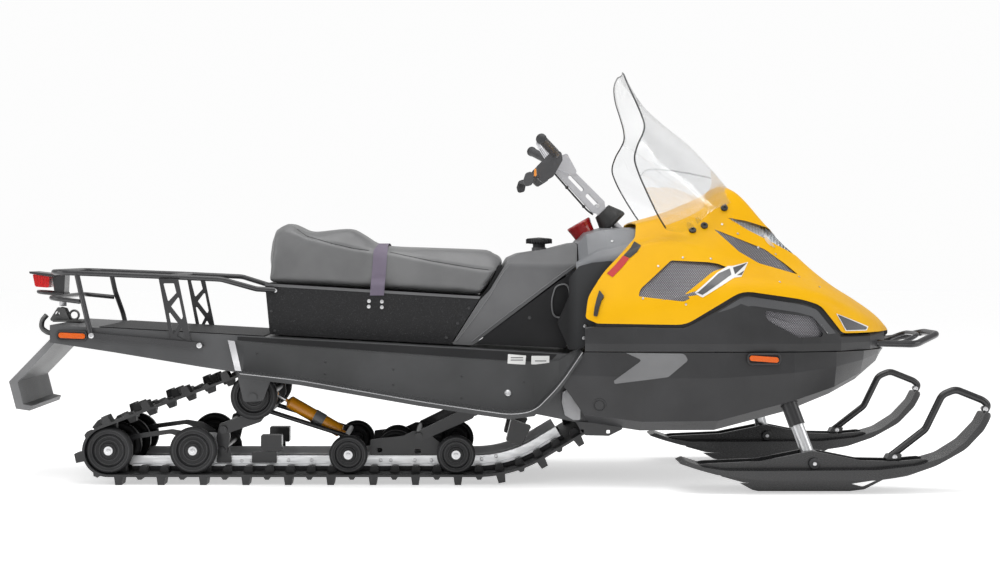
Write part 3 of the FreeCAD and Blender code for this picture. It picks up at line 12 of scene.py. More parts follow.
import bmesh
import bpy
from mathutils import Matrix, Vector

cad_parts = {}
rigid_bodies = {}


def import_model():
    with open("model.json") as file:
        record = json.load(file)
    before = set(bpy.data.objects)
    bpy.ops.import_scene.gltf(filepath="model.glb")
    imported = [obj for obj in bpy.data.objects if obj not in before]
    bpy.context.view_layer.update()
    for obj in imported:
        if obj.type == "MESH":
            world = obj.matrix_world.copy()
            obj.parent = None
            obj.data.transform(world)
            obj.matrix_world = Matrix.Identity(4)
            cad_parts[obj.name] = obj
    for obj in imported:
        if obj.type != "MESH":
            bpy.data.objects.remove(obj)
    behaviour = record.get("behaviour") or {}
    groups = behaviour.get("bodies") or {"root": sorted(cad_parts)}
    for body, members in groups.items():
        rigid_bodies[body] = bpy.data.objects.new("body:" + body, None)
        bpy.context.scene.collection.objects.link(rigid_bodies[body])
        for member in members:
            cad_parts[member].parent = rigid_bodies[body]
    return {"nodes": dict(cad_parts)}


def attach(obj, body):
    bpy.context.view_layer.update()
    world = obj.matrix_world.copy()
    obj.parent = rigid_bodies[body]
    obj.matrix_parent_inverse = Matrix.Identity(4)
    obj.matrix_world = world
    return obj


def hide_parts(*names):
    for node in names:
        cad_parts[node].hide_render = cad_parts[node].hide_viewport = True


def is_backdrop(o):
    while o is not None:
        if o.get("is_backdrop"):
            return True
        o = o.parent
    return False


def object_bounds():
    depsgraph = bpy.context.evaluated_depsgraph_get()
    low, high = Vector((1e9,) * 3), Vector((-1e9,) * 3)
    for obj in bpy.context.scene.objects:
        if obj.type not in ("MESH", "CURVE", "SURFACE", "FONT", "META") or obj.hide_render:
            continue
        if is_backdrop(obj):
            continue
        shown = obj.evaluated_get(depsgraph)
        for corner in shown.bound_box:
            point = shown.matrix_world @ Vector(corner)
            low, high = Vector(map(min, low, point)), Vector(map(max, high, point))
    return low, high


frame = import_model()
cad_low, cad_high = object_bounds()

# %% [markdown]
# ## Camera and studio
# A machine this long is shown from the side, level, from a few metres away. A 65 mm lens keeps
# the far ski and the near ski at nearly the same size. The shift moves the frame without turning
# the camera, so upright lines stay upright.

# %% Place the camera
camera_data = bpy.data.cameras.new("side_camera")
camera = bpy.data.objects.new("side_camera", camera_data)
bpy.context.collection.objects.link(camera)
camera.location = (-0.119, -6.4, 0.79)
camera.rotation_euler = (math.radians(90), 0, 0)
camera_data.lens = 64.8
camera_data.sensor_width = 36.0
camera_data.shift_x = 0.044
camera_data.shift_y = -0.030
bpy.context.scene.camera = camera
print("camera at", tuple(camera.location))

# %% [markdown]
# The floor is one pale sheet. It glows a little, as the lit plastic of a light table does, so it
# ends in the same white as the backdrop and no horizon line crosses the machine. An operator acts
# on all that is selected, so two small helpers come first: one selects nothing, the other takes a
# single piece in hand.

# %% Lay the floor
FLOOR_SIZE, FLOOR_Z, FLOOR_GLOW = 60, -0.0005, 0.515


def deselect():
    """Leaves edit mode and selects nothing."""
    if bpy.context.mode != "OBJECT":
        bpy.ops.object.mode_set(mode="OBJECT")
    bpy.ops.object.select_all(action="DESELECT")


def take(piece):
    """Selects one piece alone and makes it active."""
    deselect()
    piece.select_set(True)
    bpy.context.view_layer.objects.active = piece
    return piece


deselect()
bpy.ops.mesh.primitive_plane_add(size=FLOOR_SIZE, location=(0, 0, FLOOR_Z))
floor = bpy.context.object
floor.name = "studio_floor"
floor_paint = bpy.data.materials.new("pale_floor")
floor_paint.use_nodes = True
floor_shader = floor_paint.node_tree.nodes["Principled BSDF"]
floor_shader.inputs["Base Color"].default_value = (0.93, 0.93, 0.93, 1)
floor_shader.inputs["Roughness"].default_value = 0.9
floor_shader.inputs["Emission Color"].default_value = (1, 1, 1, 1)
floor_shader.inputs["Emission Strength"].default_value = FLOOR_GLOW
floor.data.materials.append(floor_paint)
floor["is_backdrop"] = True
print("floor laid,", FLOOR_SIZE, "m wide")

# %% [markdown]
# The world is white where the camera sees it, also through the clear screen, but it lights the
# machine only weakly, which keeps the dark plastic dark. Two backgrounds with a switch between them
# do that. The view stays plain, so a white of 1 is the white of the finished picture.

# %% A white world that lights weakly
SKY_LIGHT, BACKDROP_LIGHT = 0.50, 0.98
world = bpy.data.worlds.new("studio_world")
world.use_nodes = True
tree = world.node_tree
sky = tree.nodes["Background"]
backdrop = tree.nodes.new("ShaderNodeBackground")
for node, strength in ((sky, SKY_LIGHT), (backdrop, BACKDROP_LIGHT)):
    node.inputs[0].default_value = (1, 1, 1, 1)
    node.inputs[1].default_value = strength
seen = tree.nodes.new("ShaderNodeLightPath")
both = tree.nodes.new("ShaderNodeMixShader")
either = tree.nodes.new("ShaderNodeMath")
either.operation = "MAXIMUM"
tree.links.new(seen.outputs["Is Camera Ray"], either.inputs[0])
tree.links.new(seen.outputs["Is Transmission Ray"], either.inputs[1])
tree.links.new(either.outputs[0], both.inputs["Fac"])
tree.links.new(sky.outputs[0], both.inputs[1])
tree.links.new(backdrop.outputs[0], both.inputs[2])
tree.links.new(both.outputs[0], tree.nodes["World Output"].inputs["Surface"])
bpy.context.scene.world = world
bpy.context.scene.view_settings.view_transform = "Standard"
bpy.context.scene.view_settings.look = "None"
print("world lights", SKY_LIGHT, "and looks", BACKDROP_LIGHT)

# %% [markdown]
# Most of the light comes from four large soft lamps: one overhead for the long highlights on seat
# and hood, one in front, and two low ones that draw the edges of the dark parts.

# %% Hang the lamps
LAMPS = [
    # name, place, aim, size, power
    ("overhead", (0.0, -0.6, 4.6), (0.0, 0, 0.6), 4.0, 130),
    ("front_fill", (0.2, -5.6, 4.8), (0.1, 0, 0.5), 4.6, 58),
    ("rear_edge", (-4.0, -1.6, 1.8), (-0.6, 0, 0.6), 2.0, 30),
    ("nose_edge", (4.4, -1.4, 1.8), (1.0, 0, 0.5), 2.0, 26),
]
for name, place, aim, size, power in LAMPS:
    lamp_data = bpy.data.lights.new(name, "AREA")
    lamp_data.size = size
    lamp_data.energy = power
    lamp = bpy.data.objects.new(name, lamp_data)
    lamp.location = place
    lamp.rotation_euler = (Vector(aim) - Vector(place)).to_track_quat("-Z", "Y").to_euler()
    bpy.context.collection.objects.link(lamp)
print("lamps", [row[0] for row in LAMPS])

# %% [markdown]
# ## Finishes
# Real plastic, rubber and metal are never one flat colour. Every finish here starts from the same
# three habits: a slow drift between two close colours, a roughness that wanders a little, and a
# fine relief of the right grain. Object coordinates are used, so the grain keeps its real size in
# metres on every piece. First come small helpers that each add one node and give its output.

# %% Helpers that add one node each
def place_of(tree, stretch=(1, 1, 1), turn=(0, 0, 0)):
    """Object coordinates, stretched or turned for a grain that runs one way."""
    coords = tree.nodes.new("ShaderNodeTexCoord")
    mapping = tree.nodes.new("ShaderNodeMapping")
    mapping.inputs["Scale"].default_value = stretch
    mapping.inputs["Rotation"].default_value = turn
    tree.links.new(coords.outputs["Object"], mapping.inputs["Vector"])
    return mapping.outputs["Vector"]


def noise(tree, place, scale, detail):
    """Soft random patches."""
    node = tree.nodes.new("ShaderNodeTexNoise")
    node.inputs["Scale"].default_value = scale
    node.inputs["Detail"].default_value = detail
    tree.links.new(place, node.inputs["Vector"])
    return node.outputs["Fac"]


def cells(tree, place, scale, feature="F1"):
    """A skin of small cells, as the distance to the nearest cell's middle."""
    node = tree.nodes.new("ShaderNodeTexVoronoi")
    node.feature = feature
    node.inputs["Scale"].default_value = scale
    tree.links.new(place, node.inputs["Vector"])
    return node.outputs["Distance"]


def waves(tree, scale, stretch=(1, 1, 1), turn=0.0):
    """Even ridges that run one way, turned about Y."""
    node = tree.nodes.new("ShaderNodeTexWave")
    node.inputs["Scale"].default_value = scale
    tree.links.new(place_of(tree, stretch, (0, turn, 0)), node.inputs["Vector"])
    return node.outputs["Fac"]


def ramp(tree, value, low, high, out_low=0.0, out_high=1.0):
    """Maps a value from one range to another, held at both ends."""
    node = tree.nodes.new("ShaderNodeMapRange")
    tree.links.new(value, node.inputs["Value"])
    limits = {"From Min": low, "From Max": high, "To Min": out_low, "To Max": out_high}
    for key, number in limits.items():
        node.inputs[key].default_value = number
    return node.outputs["Result"]


print("node helpers ready")

# %% [markdown]
# Two more helpers change the shader. One blends a colour into its base colour, over what is there
# already. The other lays a relief over an earlier one, with its depth in metres, as real grain has.

# %% Helpers that paint and that raise the surface
def paint(tree, shader, share, first, second=None):
    """Blends from the first colour, or the shader's present one, to the second by a share of 0 to 1."""
    mix = tree.nodes.new("ShaderNodeMix")
    mix.data_type = "RGBA"
    tree.links.new(share, mix.inputs["Factor"])
    for value, socket in ((first, mix.inputs["A"]), (second, mix.inputs["B"])):
        if value is None:
            tree.links.new(shader.inputs["Base Color"].links[0].from_socket, socket)
        else:
            socket.default_value = (*value, 1)
    tree.links.new(mix.outputs["Result"], shader.inputs["Base Color"])


def relief(tree, shader, height, depth, strength=1.0):
    """Bumps the surface by a height value, depth in metres, on top of an earlier relief."""
    bump = tree.nodes.new("ShaderNodeBump")
    bump.inputs["Distance"].default_value = depth
    bump.inputs["Strength"].default_value = strength
    tree.links.new(height, bump.inputs["Height"])
    if shader.inputs["Normal"].links:
        tree.links.new(shader.inputs["Normal"].links[0].from_socket, bump.inputs["Normal"])
    tree.links.new(bump.outputs["Normal"], shader.inputs["Normal"])


print("paint and relief ready")

# %% [markdown]
# A finish is then put together in one place. The values that stay the same all over a piece, such
# as how metallic it is, sit on the shader itself, and only colour, roughness and relief are driven.

# %% The recipe of a finish
DRIFT_SCALE, DRIFT_DETAIL, GRAIN_DETAIL = 5.0, 4.0, 3.0
finish = {}


def new_finish(name, dark, light, rough, grain, metallic=0.0, coat=0.0,
               stretch=(1, 1, 1), depth=0.0002, shine=0.5):
    """Adds a finish that drifts between two colours, and gives its node tree and shader."""
    made = bpy.data.materials.new(name)
    made.use_nodes = True
    tree = made.node_tree
    shader = tree.nodes["Principled BSDF"]
    place = place_of(tree, stretch)
    paint(tree, shader, ramp(tree, noise(tree, place, DRIFT_SCALE, DRIFT_DETAIL), 0.35, 0.65), dark, light)
    fine = noise(tree, place, grain, GRAIN_DETAIL)
    tree.links.new(ramp(tree, fine, 0.3, 0.7, *rough), shader.inputs["Roughness"])
    shader.inputs["Metallic"].default_value = metallic
    shader.inputs["Coat Weight"].default_value = coat
    shader.inputs["Coat Roughness"].default_value = 0.08
    shader.inputs["Specular IOR Level"].default_value = shine
    relief(tree, shader, fine, depth)
    finish[name] = made
    return tree, shader


print("recipe ready")

# %% [markdown]
# Most finishes differ only in a few numbers, so they come from one table. Moulded covers are dark
# grey with a silky sheen, painted steel is darker and a little glossier, and bare metal is bright
# with its grain drawn out along the machine. Lacquer, paint and lamps have a clear coat on top.

# %% The plain finishes
FINISHES = [
    # name, dark and light colour, least and most roughness, grain, and what differs from the recipe
    ("track_rubber", (0.014, 0.014, 0.015), (0.032, 0.032, 0.033), (0.38, 0.62), 900, dict(depth=0.0004)),
    ("wheel_rubber", (0.011, 0.011, 0.012), (0.020, 0.020, 0.021), (0.40, 0.56), 700, dict(shine=0.35)),
    ("axle_steel", (0.58, 0.58, 0.59), (0.74, 0.74, 0.75), (0.24, 0.38), 300,
     dict(metallic=1, stretch=(1, 6, 1), depth=0.0001)),
    ("rail_metal", (0.80, 0.81, 0.82), (0.92, 0.92, 0.93), (0.30, 0.44), 220,
     dict(metallic=1, stretch=(0.08, 1, 1))),
    ("arm_black", (0.010, 0.010, 0.011), (0.020, 0.020, 0.022), (0.28, 0.42), 500,
     dict(coat=0.2, depth=0.0001)),
    ("tunnel_paint", (0.046, 0.047, 0.049), (0.068, 0.069, 0.072), (0.30, 0.44), 800, dict(coat=0.1)),
    ("board_paint", (0.026, 0.027, 0.028), (0.042, 0.043, 0.045), (0.32, 0.46), 800, dict(coat=0.1)),
    ("brace_steel", (0.36, 0.36, 0.37), (0.48, 0.48, 0.49), (0.30, 0.45), 300,
     dict(metallic=0.8, stretch=(1, 1, 4), depth=0.0001)),
    ("rack_paint", (0.016, 0.016, 0.018), (0.030, 0.030, 0.032), (0.24, 0.36), 600,
     dict(coat=0.3, depth=0.0001)),
    ("cover_plastic", (0.095, 0.096, 0.099), (0.130, 0.131, 0.135), (0.30, 0.42), 1200, dict(coat=0.05)),
    ("belly_plastic", (0.018, 0.018, 0.019), (0.029, 0.029, 0.031), (0.32, 0.46), 1000, dict(shine=0.4)),
    ("cap_plastic", (0.016, 0.016, 0.017), (0.028, 0.028, 0.030), (0.38, 0.52), 900, dict()),
    ("boot_rubber", (0.010, 0.010, 0.010), (0.018, 0.018, 0.018), (0.5, 0.7), 900, dict(depth=0.0003)),
    ("cast_metal", (0.30, 0.30, 0.31), (0.44, 0.44, 0.45), (0.42, 0.62), 500, dict(metallic=1, depth=0.0006)),
    ("leg_metal", (0.58, 0.59, 0.60), (0.72, 0.72, 0.73), (0.26, 0.38), 260,
     dict(metallic=1, stretch=(1, 1, 0.2), depth=0.0001)),
    ("riser_metal", (0.56, 0.56, 0.58), (0.66, 0.66, 0.68), (0.30, 0.36), 90,
     dict(metallic=0.85, stretch=(1, 1, 0.3), depth=0.00002)),
    ("ski_plastic", (0.012, 0.012, 0.013), (0.022, 0.022, 0.023), (0.20, 0.32), 700,
     dict(coat=0.1, stretch=(0.3, 1, 1), depth=0.0001)),
    ("flap_plastic", (0.130, 0.131, 0.134), (0.185, 0.186, 0.190), (0.36, 0.52), 700, dict(depth=0.0003)),
    ("hood_paint", (0.75, 0.385, 0.0002), (0.80, 0.425, 0.0004), (0.34, 0.44), 60,
     dict(depth=0.0001, shine=0.18)),
    ("hitch_steel", (0.10, 0.10, 0.10), (0.17, 0.17, 0.17), (0.3, 0.5), 500, dict(metallic=1)),
    ("gauge_red", (0.30, 0.006, 0.008), (0.42, 0.012, 0.014), (0.16, 0.26), 200,
     dict(coat=0.6, depth=0.0001)),
    ("dash_plastic", (0.155, 0.160, 0.170), (0.205, 0.210, 0.222), (0.32, 0.44), 1000, dict(coat=0.05)),
    ("knee_plastic", (0.006, 0.006, 0.007), (0.011, 0.011, 0.012), (0.36, 0.48), 1000, dict(shine=0.25)),
    ("grey_inlay", (0.135, 0.136, 0.140), (0.175, 0.176, 0.180), (0.34, 0.46), 900, dict()),
    # the raised band is a lighter grey than the belly: a painted highlight on its upper edge
    ("band_plastic", (0.046, 0.047, 0.050), (0.064, 0.065, 0.069), (0.26, 0.38), 1000, dict(coat=0.1)),
    # the wheel rings are a lighter grey than the rubber: a painted highlight on their ridges
    ("wheel_face", (0.030, 0.030, 0.031), (0.046, 0.046, 0.048), (0.34, 0.48), 700, dict()),
    ("strip_black", (0.007, 0.007, 0.008), (0.013, 0.013, 0.014), (0.40, 0.54), 900,
     dict(depth=0.0003, shine=0.3)),
    ("worn_edge", (0.24, 0.24, 0.25), (0.46, 0.46, 0.47), (0.28, 0.42), 260,
     dict(metallic=0.6, stretch=(0.3, 1, 1))),
    ("stripe_red", (0.42, 0.008, 0.010), (0.50, 0.012, 0.014), (0.3, 0.4), 300, dict(depth=0.0001)),
    ("switch_orange", (0.80, 0.24, 0.02), (0.86, 0.30, 0.03), (0.3, 0.4), 300, dict(coat=0.2, depth=0.0001)),
    ("label_white", (0.72, 0.72, 0.71), (0.80, 0.80, 0.79), (0.35, 0.45), 500, dict(depth=0.0001)),
    ("shock_lacquer", (0.66, 0.25, 0.004), (0.74, 0.30, 0.008), (0.25, 0.35), 150, dict(coat=0.2)),
    # the dark finish of the screen's rim bead is painted shade along the edge of the clear sheet
    ("screen_edge", (0.02, 0.021, 0.023), (0.035, 0.036, 0.04), (0.1, 0.2), 200, dict(coat=0.3)),
    ("graphite_film", (0.05, 0.05, 0.055), (0.085, 0.085, 0.09), (0.25, 0.4), 900, dict(coat=0.3)),
    ("grip_foam", (0.034, 0.034, 0.036), (0.062, 0.062, 0.065), (0.45, 0.65), 500, dict(depth=0.0001)),
]
for name, dark, light, rough, grain, more in FINISHES:
    new_finish(name, dark, light, rough, grain, **more)
print(len(finish), "plain finishes")

# %% [markdown]
# Some surfaces carry a pattern of their own. The storage box is coated with a coarse black crinkle
# paint, and its sparkle is light specks painted into the colour as painted glints. The grilles are a
# woven wire mesh, the seat is grained vinyl, and the strap is a flat nylon weave.

# %% Crinkle paint, wire mesh, vinyl and webbing
tree, shader = new_finish("crinkle_paint", (0.007, 0.007, 0.008), (0.016, 0.016, 0.018), (0.3, 0.55), 240,
                          depth=0.0006, shine=0.3)
relief(tree, shader, cells(tree, place_of(tree), 420), 0.0009)
# Light specks painted into the colour of the crinkle paint: painted glints.
glint_specks = ramp(tree, noise(tree, place_of(tree), 520, 2.0), 0.62, 0.72)
paint(tree, shader, glint_specks, (0.010, 0.010, 0.011), (0.075, 0.075, 0.08))

tree, shader = new_finish("wire_mesh", (0.30, 0.29, 0.305), (0.38, 0.37, 0.385), (0.3, 0.45), 300,
                          metallic=0.3)
for turn in (0.6, -0.6):
    hole = ramp(tree, waves(tree, 62, (1, 0.2, 1), turn), 0.12, 0.5)
    paint(tree, shader, hole, (0.05, 0.05, 0.06))
    relief(tree, shader, hole, 0.0008)

tree, shader = new_finish("seat_vinyl", (0.112, 0.113, 0.115), (0.155, 0.156, 0.158), (0.30, 0.42), 600)
relief(tree, shader, cells(tree, place_of(tree), 620, "SMOOTH_F1"), 0.0004, 0.6)
shader.inputs["Sheen Weight"].default_value = 0.15

tree, shader = new_finish("strap_weave", (0.15, 0.125, 0.175), (0.20, 0.17, 0.225), (0.6, 0.8), 500)
for turn in (0.0, math.pi / 2):
    relief(tree, shader, waves(tree, 160, turn=turn), 0.0006, 0.7)
print("patterned finishes", len(finish) - len(FINISHES))

# %% [markdown]
# Lamps, reflectors and the screen let light through. The lenses are tinted and ribbed. The screen
# is clear sheet a few millimetres thick, and its alpha lets half of the light pass straight, so what
# stands behind it stays light and sharp.

# %% Clear and tinted plastic
CLEAR = [
    # name, tint, roughness, ribs, share of light that passes
    ("screen_clear", (0.88, 0.89, 0.90), 0.0, 0, 1.0), ("lamp_clear", (0.93, 0.95, 0.97), 0.02, 30, 1.0),
    ("lens_red", (0.78, 0.012, 0.012), 0.08, 60, 0.35), ("lens_orange", (0.98, 0.16, 0.006), 0.10, 90, 0.25),
]
for name, tint, rough, ribs, passes in CLEAR:
    tree, shader = new_finish(name, tint, tint, (rough, rough + 0.04), 40, depth=0.00002)
    shader.inputs["Transmission Weight"].default_value = passes
    shader.inputs["IOR"].default_value = 1.45
    if ribs:
        relief(tree, shader, waves(tree, ribs), 0.0012)
screen_shader = finish["screen_clear"].node_tree.nodes["Principled BSDF"]
screen_shader.inputs["Alpha"].default_value = 0.45
print("clear finishes", len(CLEAR))

# %% [markdown]
# The column panel is one moulding with the knee panel, but its front third is a lighter grey. The
# change runs along the machine, so the colour follows the X coordinate.

# %% Two-tone knee and column panels
tree = finish["knee_plastic"].node_tree
along = tree.nodes.new("ShaderNodeSeparateXYZ")
tree.links.new(place_of(tree), along.inputs["Vector"])
lighter = ramp(tree, along.outputs["X"], 0.258, 0.290)
paint(tree, tree.nodes["Principled BSDF"], lighter, None, (0.036, 0.037, 0.039))
print("two-tone panels")

# %% [markdown]
# ## Dressing the CAD nodes
# The CAD pieces whose shape is already right keep it. Each only gets the finish of its real
# material, by name.

# %% Give every CAD node its finish
NODE_FINISH = {
    "track": "track_rubber", "track_wheels": "wheel_rubber", "wheel_axles": "axle_steel",
    "slide_rails": "rail_metal", "slide_shoes": "cap_plastic", "shock_absorber": "shock_lacquer",
    "suspension_arms": "arm_black", "rail_brackets": "arm_black", "drive_axle": "cap_plastic",
    "tunnel": "tunnel_paint", "running_boards": "board_paint", "board_braces": "brace_steel",
    "rear_rack": "rack_paint", "seat_box": "crinkle_paint", "seat": "seat_vinyl", "seat_strap": "strap_weave",
    "fuel_tank": "cover_plastic", "fuel_cap": "cap_plastic", "belly_pan": "belly_plastic",
    "middle_panel": "belly_plastic", "vent_meshes": "wire_mesh", "hood": "hood_paint",
    "hood_grilles": "wire_mesh", "headlamps": "lamp_clear", "side_panels": "knee_plastic",
    "dash": "dash_plastic", "gauge_pod": "gauge_red", "column_boot": "boot_rubber", "engine": "cast_metal",
    "front_frame": "arm_black", "drive_housings": "cast_metal", "front_bumper": "rack_paint",
    "windshield": "screen_clear", "steering_riser": "riser_metal", "handlebar": "riser_metal",
    "hand_controls": "grip_foam", "ski_leg_right": "leg_metal", "ski_leg_left": "leg_metal",
    "ski_right": "ski_plastic", "ski_left": "ski_plastic", "tail_lamp": "lens_red",
    "tow_hitch": "hitch_steel", "snow_flap": "flap_plastic", "reflectors": "lens_orange",
}
for node_name, finish_name in NODE_FINISH.items():
    node = frame["nodes"][node_name]
    node.data.materials.clear()
    node.data.materials.append(finish[finish_name])
print("dressed", len(NODE_FINISH), "of", len(frame["nodes"]), "CAD nodes")

# %% [markdown]
# ## Workshop helpers
# A few moves come back for every piece, so they get short names. A modifier is added and applied at
# once. Faces are turned outwards. Last, a piece is closed: its place goes into its mesh, it is
# smoothed and painted, and it is told which body of the machine it rides on.

# %% Apply a modifier, turn faces outwards, close a piece
def use(piece, kind, **settings):
    """Adds a modifier with its settings and applies it at once."""
    take(piece)
    modifier = piece.modifiers.new(kind.lower(), kind)
    for key, value in settings.items():
        setattr(modifier, key, value)
    bpy.ops.object.modifier_apply(modifier=modifier.name)
    return piece


def face_outwards(piece):
    """Turns all faces of a piece outwards."""
    take(piece)
    bpy.ops.object.mode_set(mode="EDIT")
    bpy.ops.mesh.select_all(action="SELECT")
    bpy.ops.mesh.normals_make_consistent(inside=False)
    bpy.ops.object.mode_set(mode="OBJECT")
    return piece


def close_piece(piece, name, finish_name, body, smooth, outside=True):
    """Puts the place into the mesh, turns faces outwards, smooths, paints and lets the piece ride."""
    take(piece)
    bpy.ops.object.transform_apply(location=True, rotation=True, scale=True)
    if outside:
        face_outwards(piece)
    bpy.ops.object.shade_smooth_by_angle(angle=math.radians(smooth))
    piece.name = piece.data.name = name
    piece.data.materials.clear()
    piece.data.materials.append(finish[finish_name])
    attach(piece, body)
    return piece


print("finishing moves ready")

# %% [markdown]
# A plate starts as a filled circle whose corners are pulled to an outline, and is then extruded
# across the machine. Outlines are drawn from the side, as rows of x, z and the reach of the bend at
# that corner. A plate that is wider than the machine also serves as a cutter.

# %% Outlines, plates and cuts
CUT_HALF = 0.6


def softened(points, bends, steps=4):
    """A line of 2D or 3D points whose corners are rounded, each by its own reach."""
    line = [Vector(points[0])]
    for before, here, after, bend in zip(points, points[1:], points[2:], bends[1:]):
        before, here, after = Vector(before), Vector(here), Vector(after)
        reach = min(bend, 0.45 * (before - here).length, 0.45 * (after - here).length)
        first = here + (before - here).normalized() * reach
        last = here + (after - here).normalized() * reach
        for k in range(steps + 1):
            t = k / steps
            line.append(first * (1 - t) ** 2 + here * (2 * t * (1 - t)) + last * t**2)
    return line + [Vector(points[-1])]


def flat_face(outline, y):
    """One filled face in the XZ plane, with an outline of (x, z) or (x, z, bend) rows."""
    rows = [(row[0], row[1]) for row in outline]
    bends = [row[2] if len(row) > 2 else 0.0 for row in outline]
    corners = softened([rows[-1], *rows, rows[0]], [0, *bends, 0])[1:-1]
    deselect()
    bpy.ops.mesh.primitive_circle_add(vertices=len(corners), fill_type="NGON")
    piece = bpy.context.object
    for vertex, corner in zip(piece.data.vertices, corners):
        vertex.co = (corner[0], y, corner[1])
    return piece


def plate(outline, y0, y1):
    """A flat plate between two places across the machine."""
    piece = flat_face(outline, y0)
    bpy.ops.object.mode_set(mode="EDIT")
    bpy.ops.mesh.select_all(action="SELECT")
    bpy.ops.mesh.extrude_region_move(TRANSFORM_OT_translate={"value": (0, y1 - y0, 0)})
    return face_outwards(piece)


def carve(piece, tool, operation="DIFFERENCE"):
    """Cuts a piece with a tool, and throws the tool away."""
    use(piece, "BOOLEAN", object=tool, operation=operation, solver="EXACT")
    bpy.data.objects.remove(tool)
    return piece


def carve_through(piece, outline, operation="DIFFERENCE"):
    """Cuts an outline, seen from the side, through the whole width of a piece."""
    return carve(piece, plate(outline, -CUT_HALF, CUT_HALF), operation)


print("plates and cuts ready")

# %% [markdown]
# ## The hood
# The hood is one large yellow shell with a sharp shoulder line that rises over the side grille and
# runs down to the nose. It could be cut from a block, but a shell like this is better drawn as a
# net: a few cross-sections, each through the same five lines of the body, with smooth curves from
# section to section. The corners of each section are rounded a little, and that is what makes the
# shoulder look crisp but not cut with a knife.

# %% Read a table of sections on smooth curves
def blend_rows(rows, at):
    """Every column of a table at one place, on smooth curves through its rows."""
    k = max(0, min(len(rows) - 2, sum(row[0] <= at for row in rows) - 1))
    a, b = rows[k], rows[k + 1]
    before, after = rows[max(k - 1, 0)], rows[min(k + 2, len(rows) - 1)]
    step = b[0] - a[0]
    t = (at - a[0]) / step
    values = []
    for p, q, r, s in zip(before[1:], a[1:], b[1:], after[1:]):
        leave = (r - p) / (b[0] - before[0]) * step
        arrive = (s - q) / (after[0] - a[0]) * step
        values.append(q * (2 * t**3 - 3 * t**2 + 1) + leave * (t**3 - 2 * t**2 + t)
                      + r * (3 * t**2 - 2 * t**3) + arrive * (t**3 - t**2))
    return values


def net(columns):
    """A sheet of quads: columns of the same number of points, drawn as a grid primitive."""
    deselect()
    bpy.ops.mesh.primitive_grid_add(x_subdivisions=len(columns) - 1, y_subdivisions=len(columns[0]) - 1)
    piece = bpy.context.object
    wide = len(columns)
    for k, vertex in enumerate(piece.data.vertices):
        vertex.co = columns[k % wide][k // wide]
    return piece


print("a middle row", [round(v, 3) for v in blend_rows([(0, 1.0), (1, 2.0)], 0.5)])

# %% [markdown]
# The table holds twelve sections from the rear edge to the nose. Every section is one line from the
# right foot over the crown to the left foot, and a grid primitive takes the sections as columns.

# %% Draw the hood as a net of sections
HOOD_LINES = [
    # x, then half widths and heights: foot, belt, belt z, shoulder, shoulder z, edge, edge z, crown z
    (0.290, 0.424, 0.428, 0.560, 0.366, 0.660, 0.250, 0.800, 0.806),
    (0.380, 0.432, 0.440, 0.600, 0.356, 0.742, 0.236, 0.846, 0.854),
    (0.500, 0.440, 0.450, 0.620, 0.352, 0.812, 0.226, 0.888, 0.897),
    (0.620, 0.442, 0.453, 0.640, 0.348, 0.824, 0.214, 0.918, 0.934),
    (0.735, 0.444, 0.455, 0.664, 0.342, 0.796, 0.196, 0.962, 0.984),
    (0.832, 0.444, 0.455, 0.680, 0.332, 0.764, 0.176, 1.004, 1.024),
    (0.960, 0.440, 0.450, 0.672, 0.314, 0.734, 0.190, 0.872, 0.900),
    (1.090, 0.414, 0.428, 0.644, 0.296, 0.694, 0.196, 0.744, 0.766),
    (1.180, 0.376, 0.392, 0.606, 0.270, 0.654, 0.168, 0.676, 0.688),
    (1.270, 0.302, 0.318, 0.566, 0.226, 0.600, 0.120, 0.624, 0.632),
    (1.345, 0.192, 0.208, 0.540, 0.150, 0.562, 0.076, 0.576, 0.581),
    (1.388, 0.086, 0.110, 0.520, 0.082, 0.530, 0.040, 0.538, 0.541),
]
HOOD_REAR, HOOD_NOSE, HOOD_FOOT_Z, HOOD_SECTIONS = HOOD_LINES[0][0], HOOD_LINES[-1][0], 0.440, 90
DIP_DEPTH, DIP_END_X, DIP_LENGTH = 0.022, 1.16, 0.3  # the hollow between shoulder and crown
HOOD_BENDS = [0, 0.045, 0.013, 0.05, 0.02, 0.12, 0.02, 0.05, 0.013, 0.045, 0]


def hood_section(x, inset, foot_z):
    """The hood's outline at x, drawn inwards by the inset and down to the foot's height."""
    foot, belt, belt_z, shoulder, shoulder_z, edge, edge_z, crown = blend_rows(HOOD_LINES, x)
    dip = DIP_DEPTH * max(0.0, min(1.0, (DIP_END_X - x) / DIP_LENGTH))
    valley, valley_z = 0.5 * (shoulder + edge), 0.5 * (shoulder_z + edge_z) - dip
    half = [(foot - inset, foot_z), (belt - inset, belt_z), (shoulder - inset, shoulder_z - 0.8 * inset),
            (valley - inset, valley_z - 0.6 * inset), (edge - 0.8 * inset, edge_z - inset)]
    right, left = [(x, -y, z) for y, z in half], [(x, y, z) for y, z in reversed(half)]
    return softened([*right, (x, 0, crown - 1.1 * inset), *left], HOOD_BENDS)


def hood_block(inset=0.0, foot_z=HOOD_FOOT_Z, first=HOOD_REAR, last=HOOD_NOSE, count=HOOD_SECTIONS):
    """The hood, or a stretch of it, as a net of sections."""
    return net([hood_section(first + (last - first) * k / (count - 1), inset, foot_z) for k in range(count)])


hood = hood_block()
print("hood net", len(hood.data.vertices), "points")

# %% [markdown]
# The net becomes a shell with a real wall. First its front end is filled, then the wall grows
# inwards, and only then the side outline and the openings are cut, so every cut edge shows the
# thickness of the moulding.

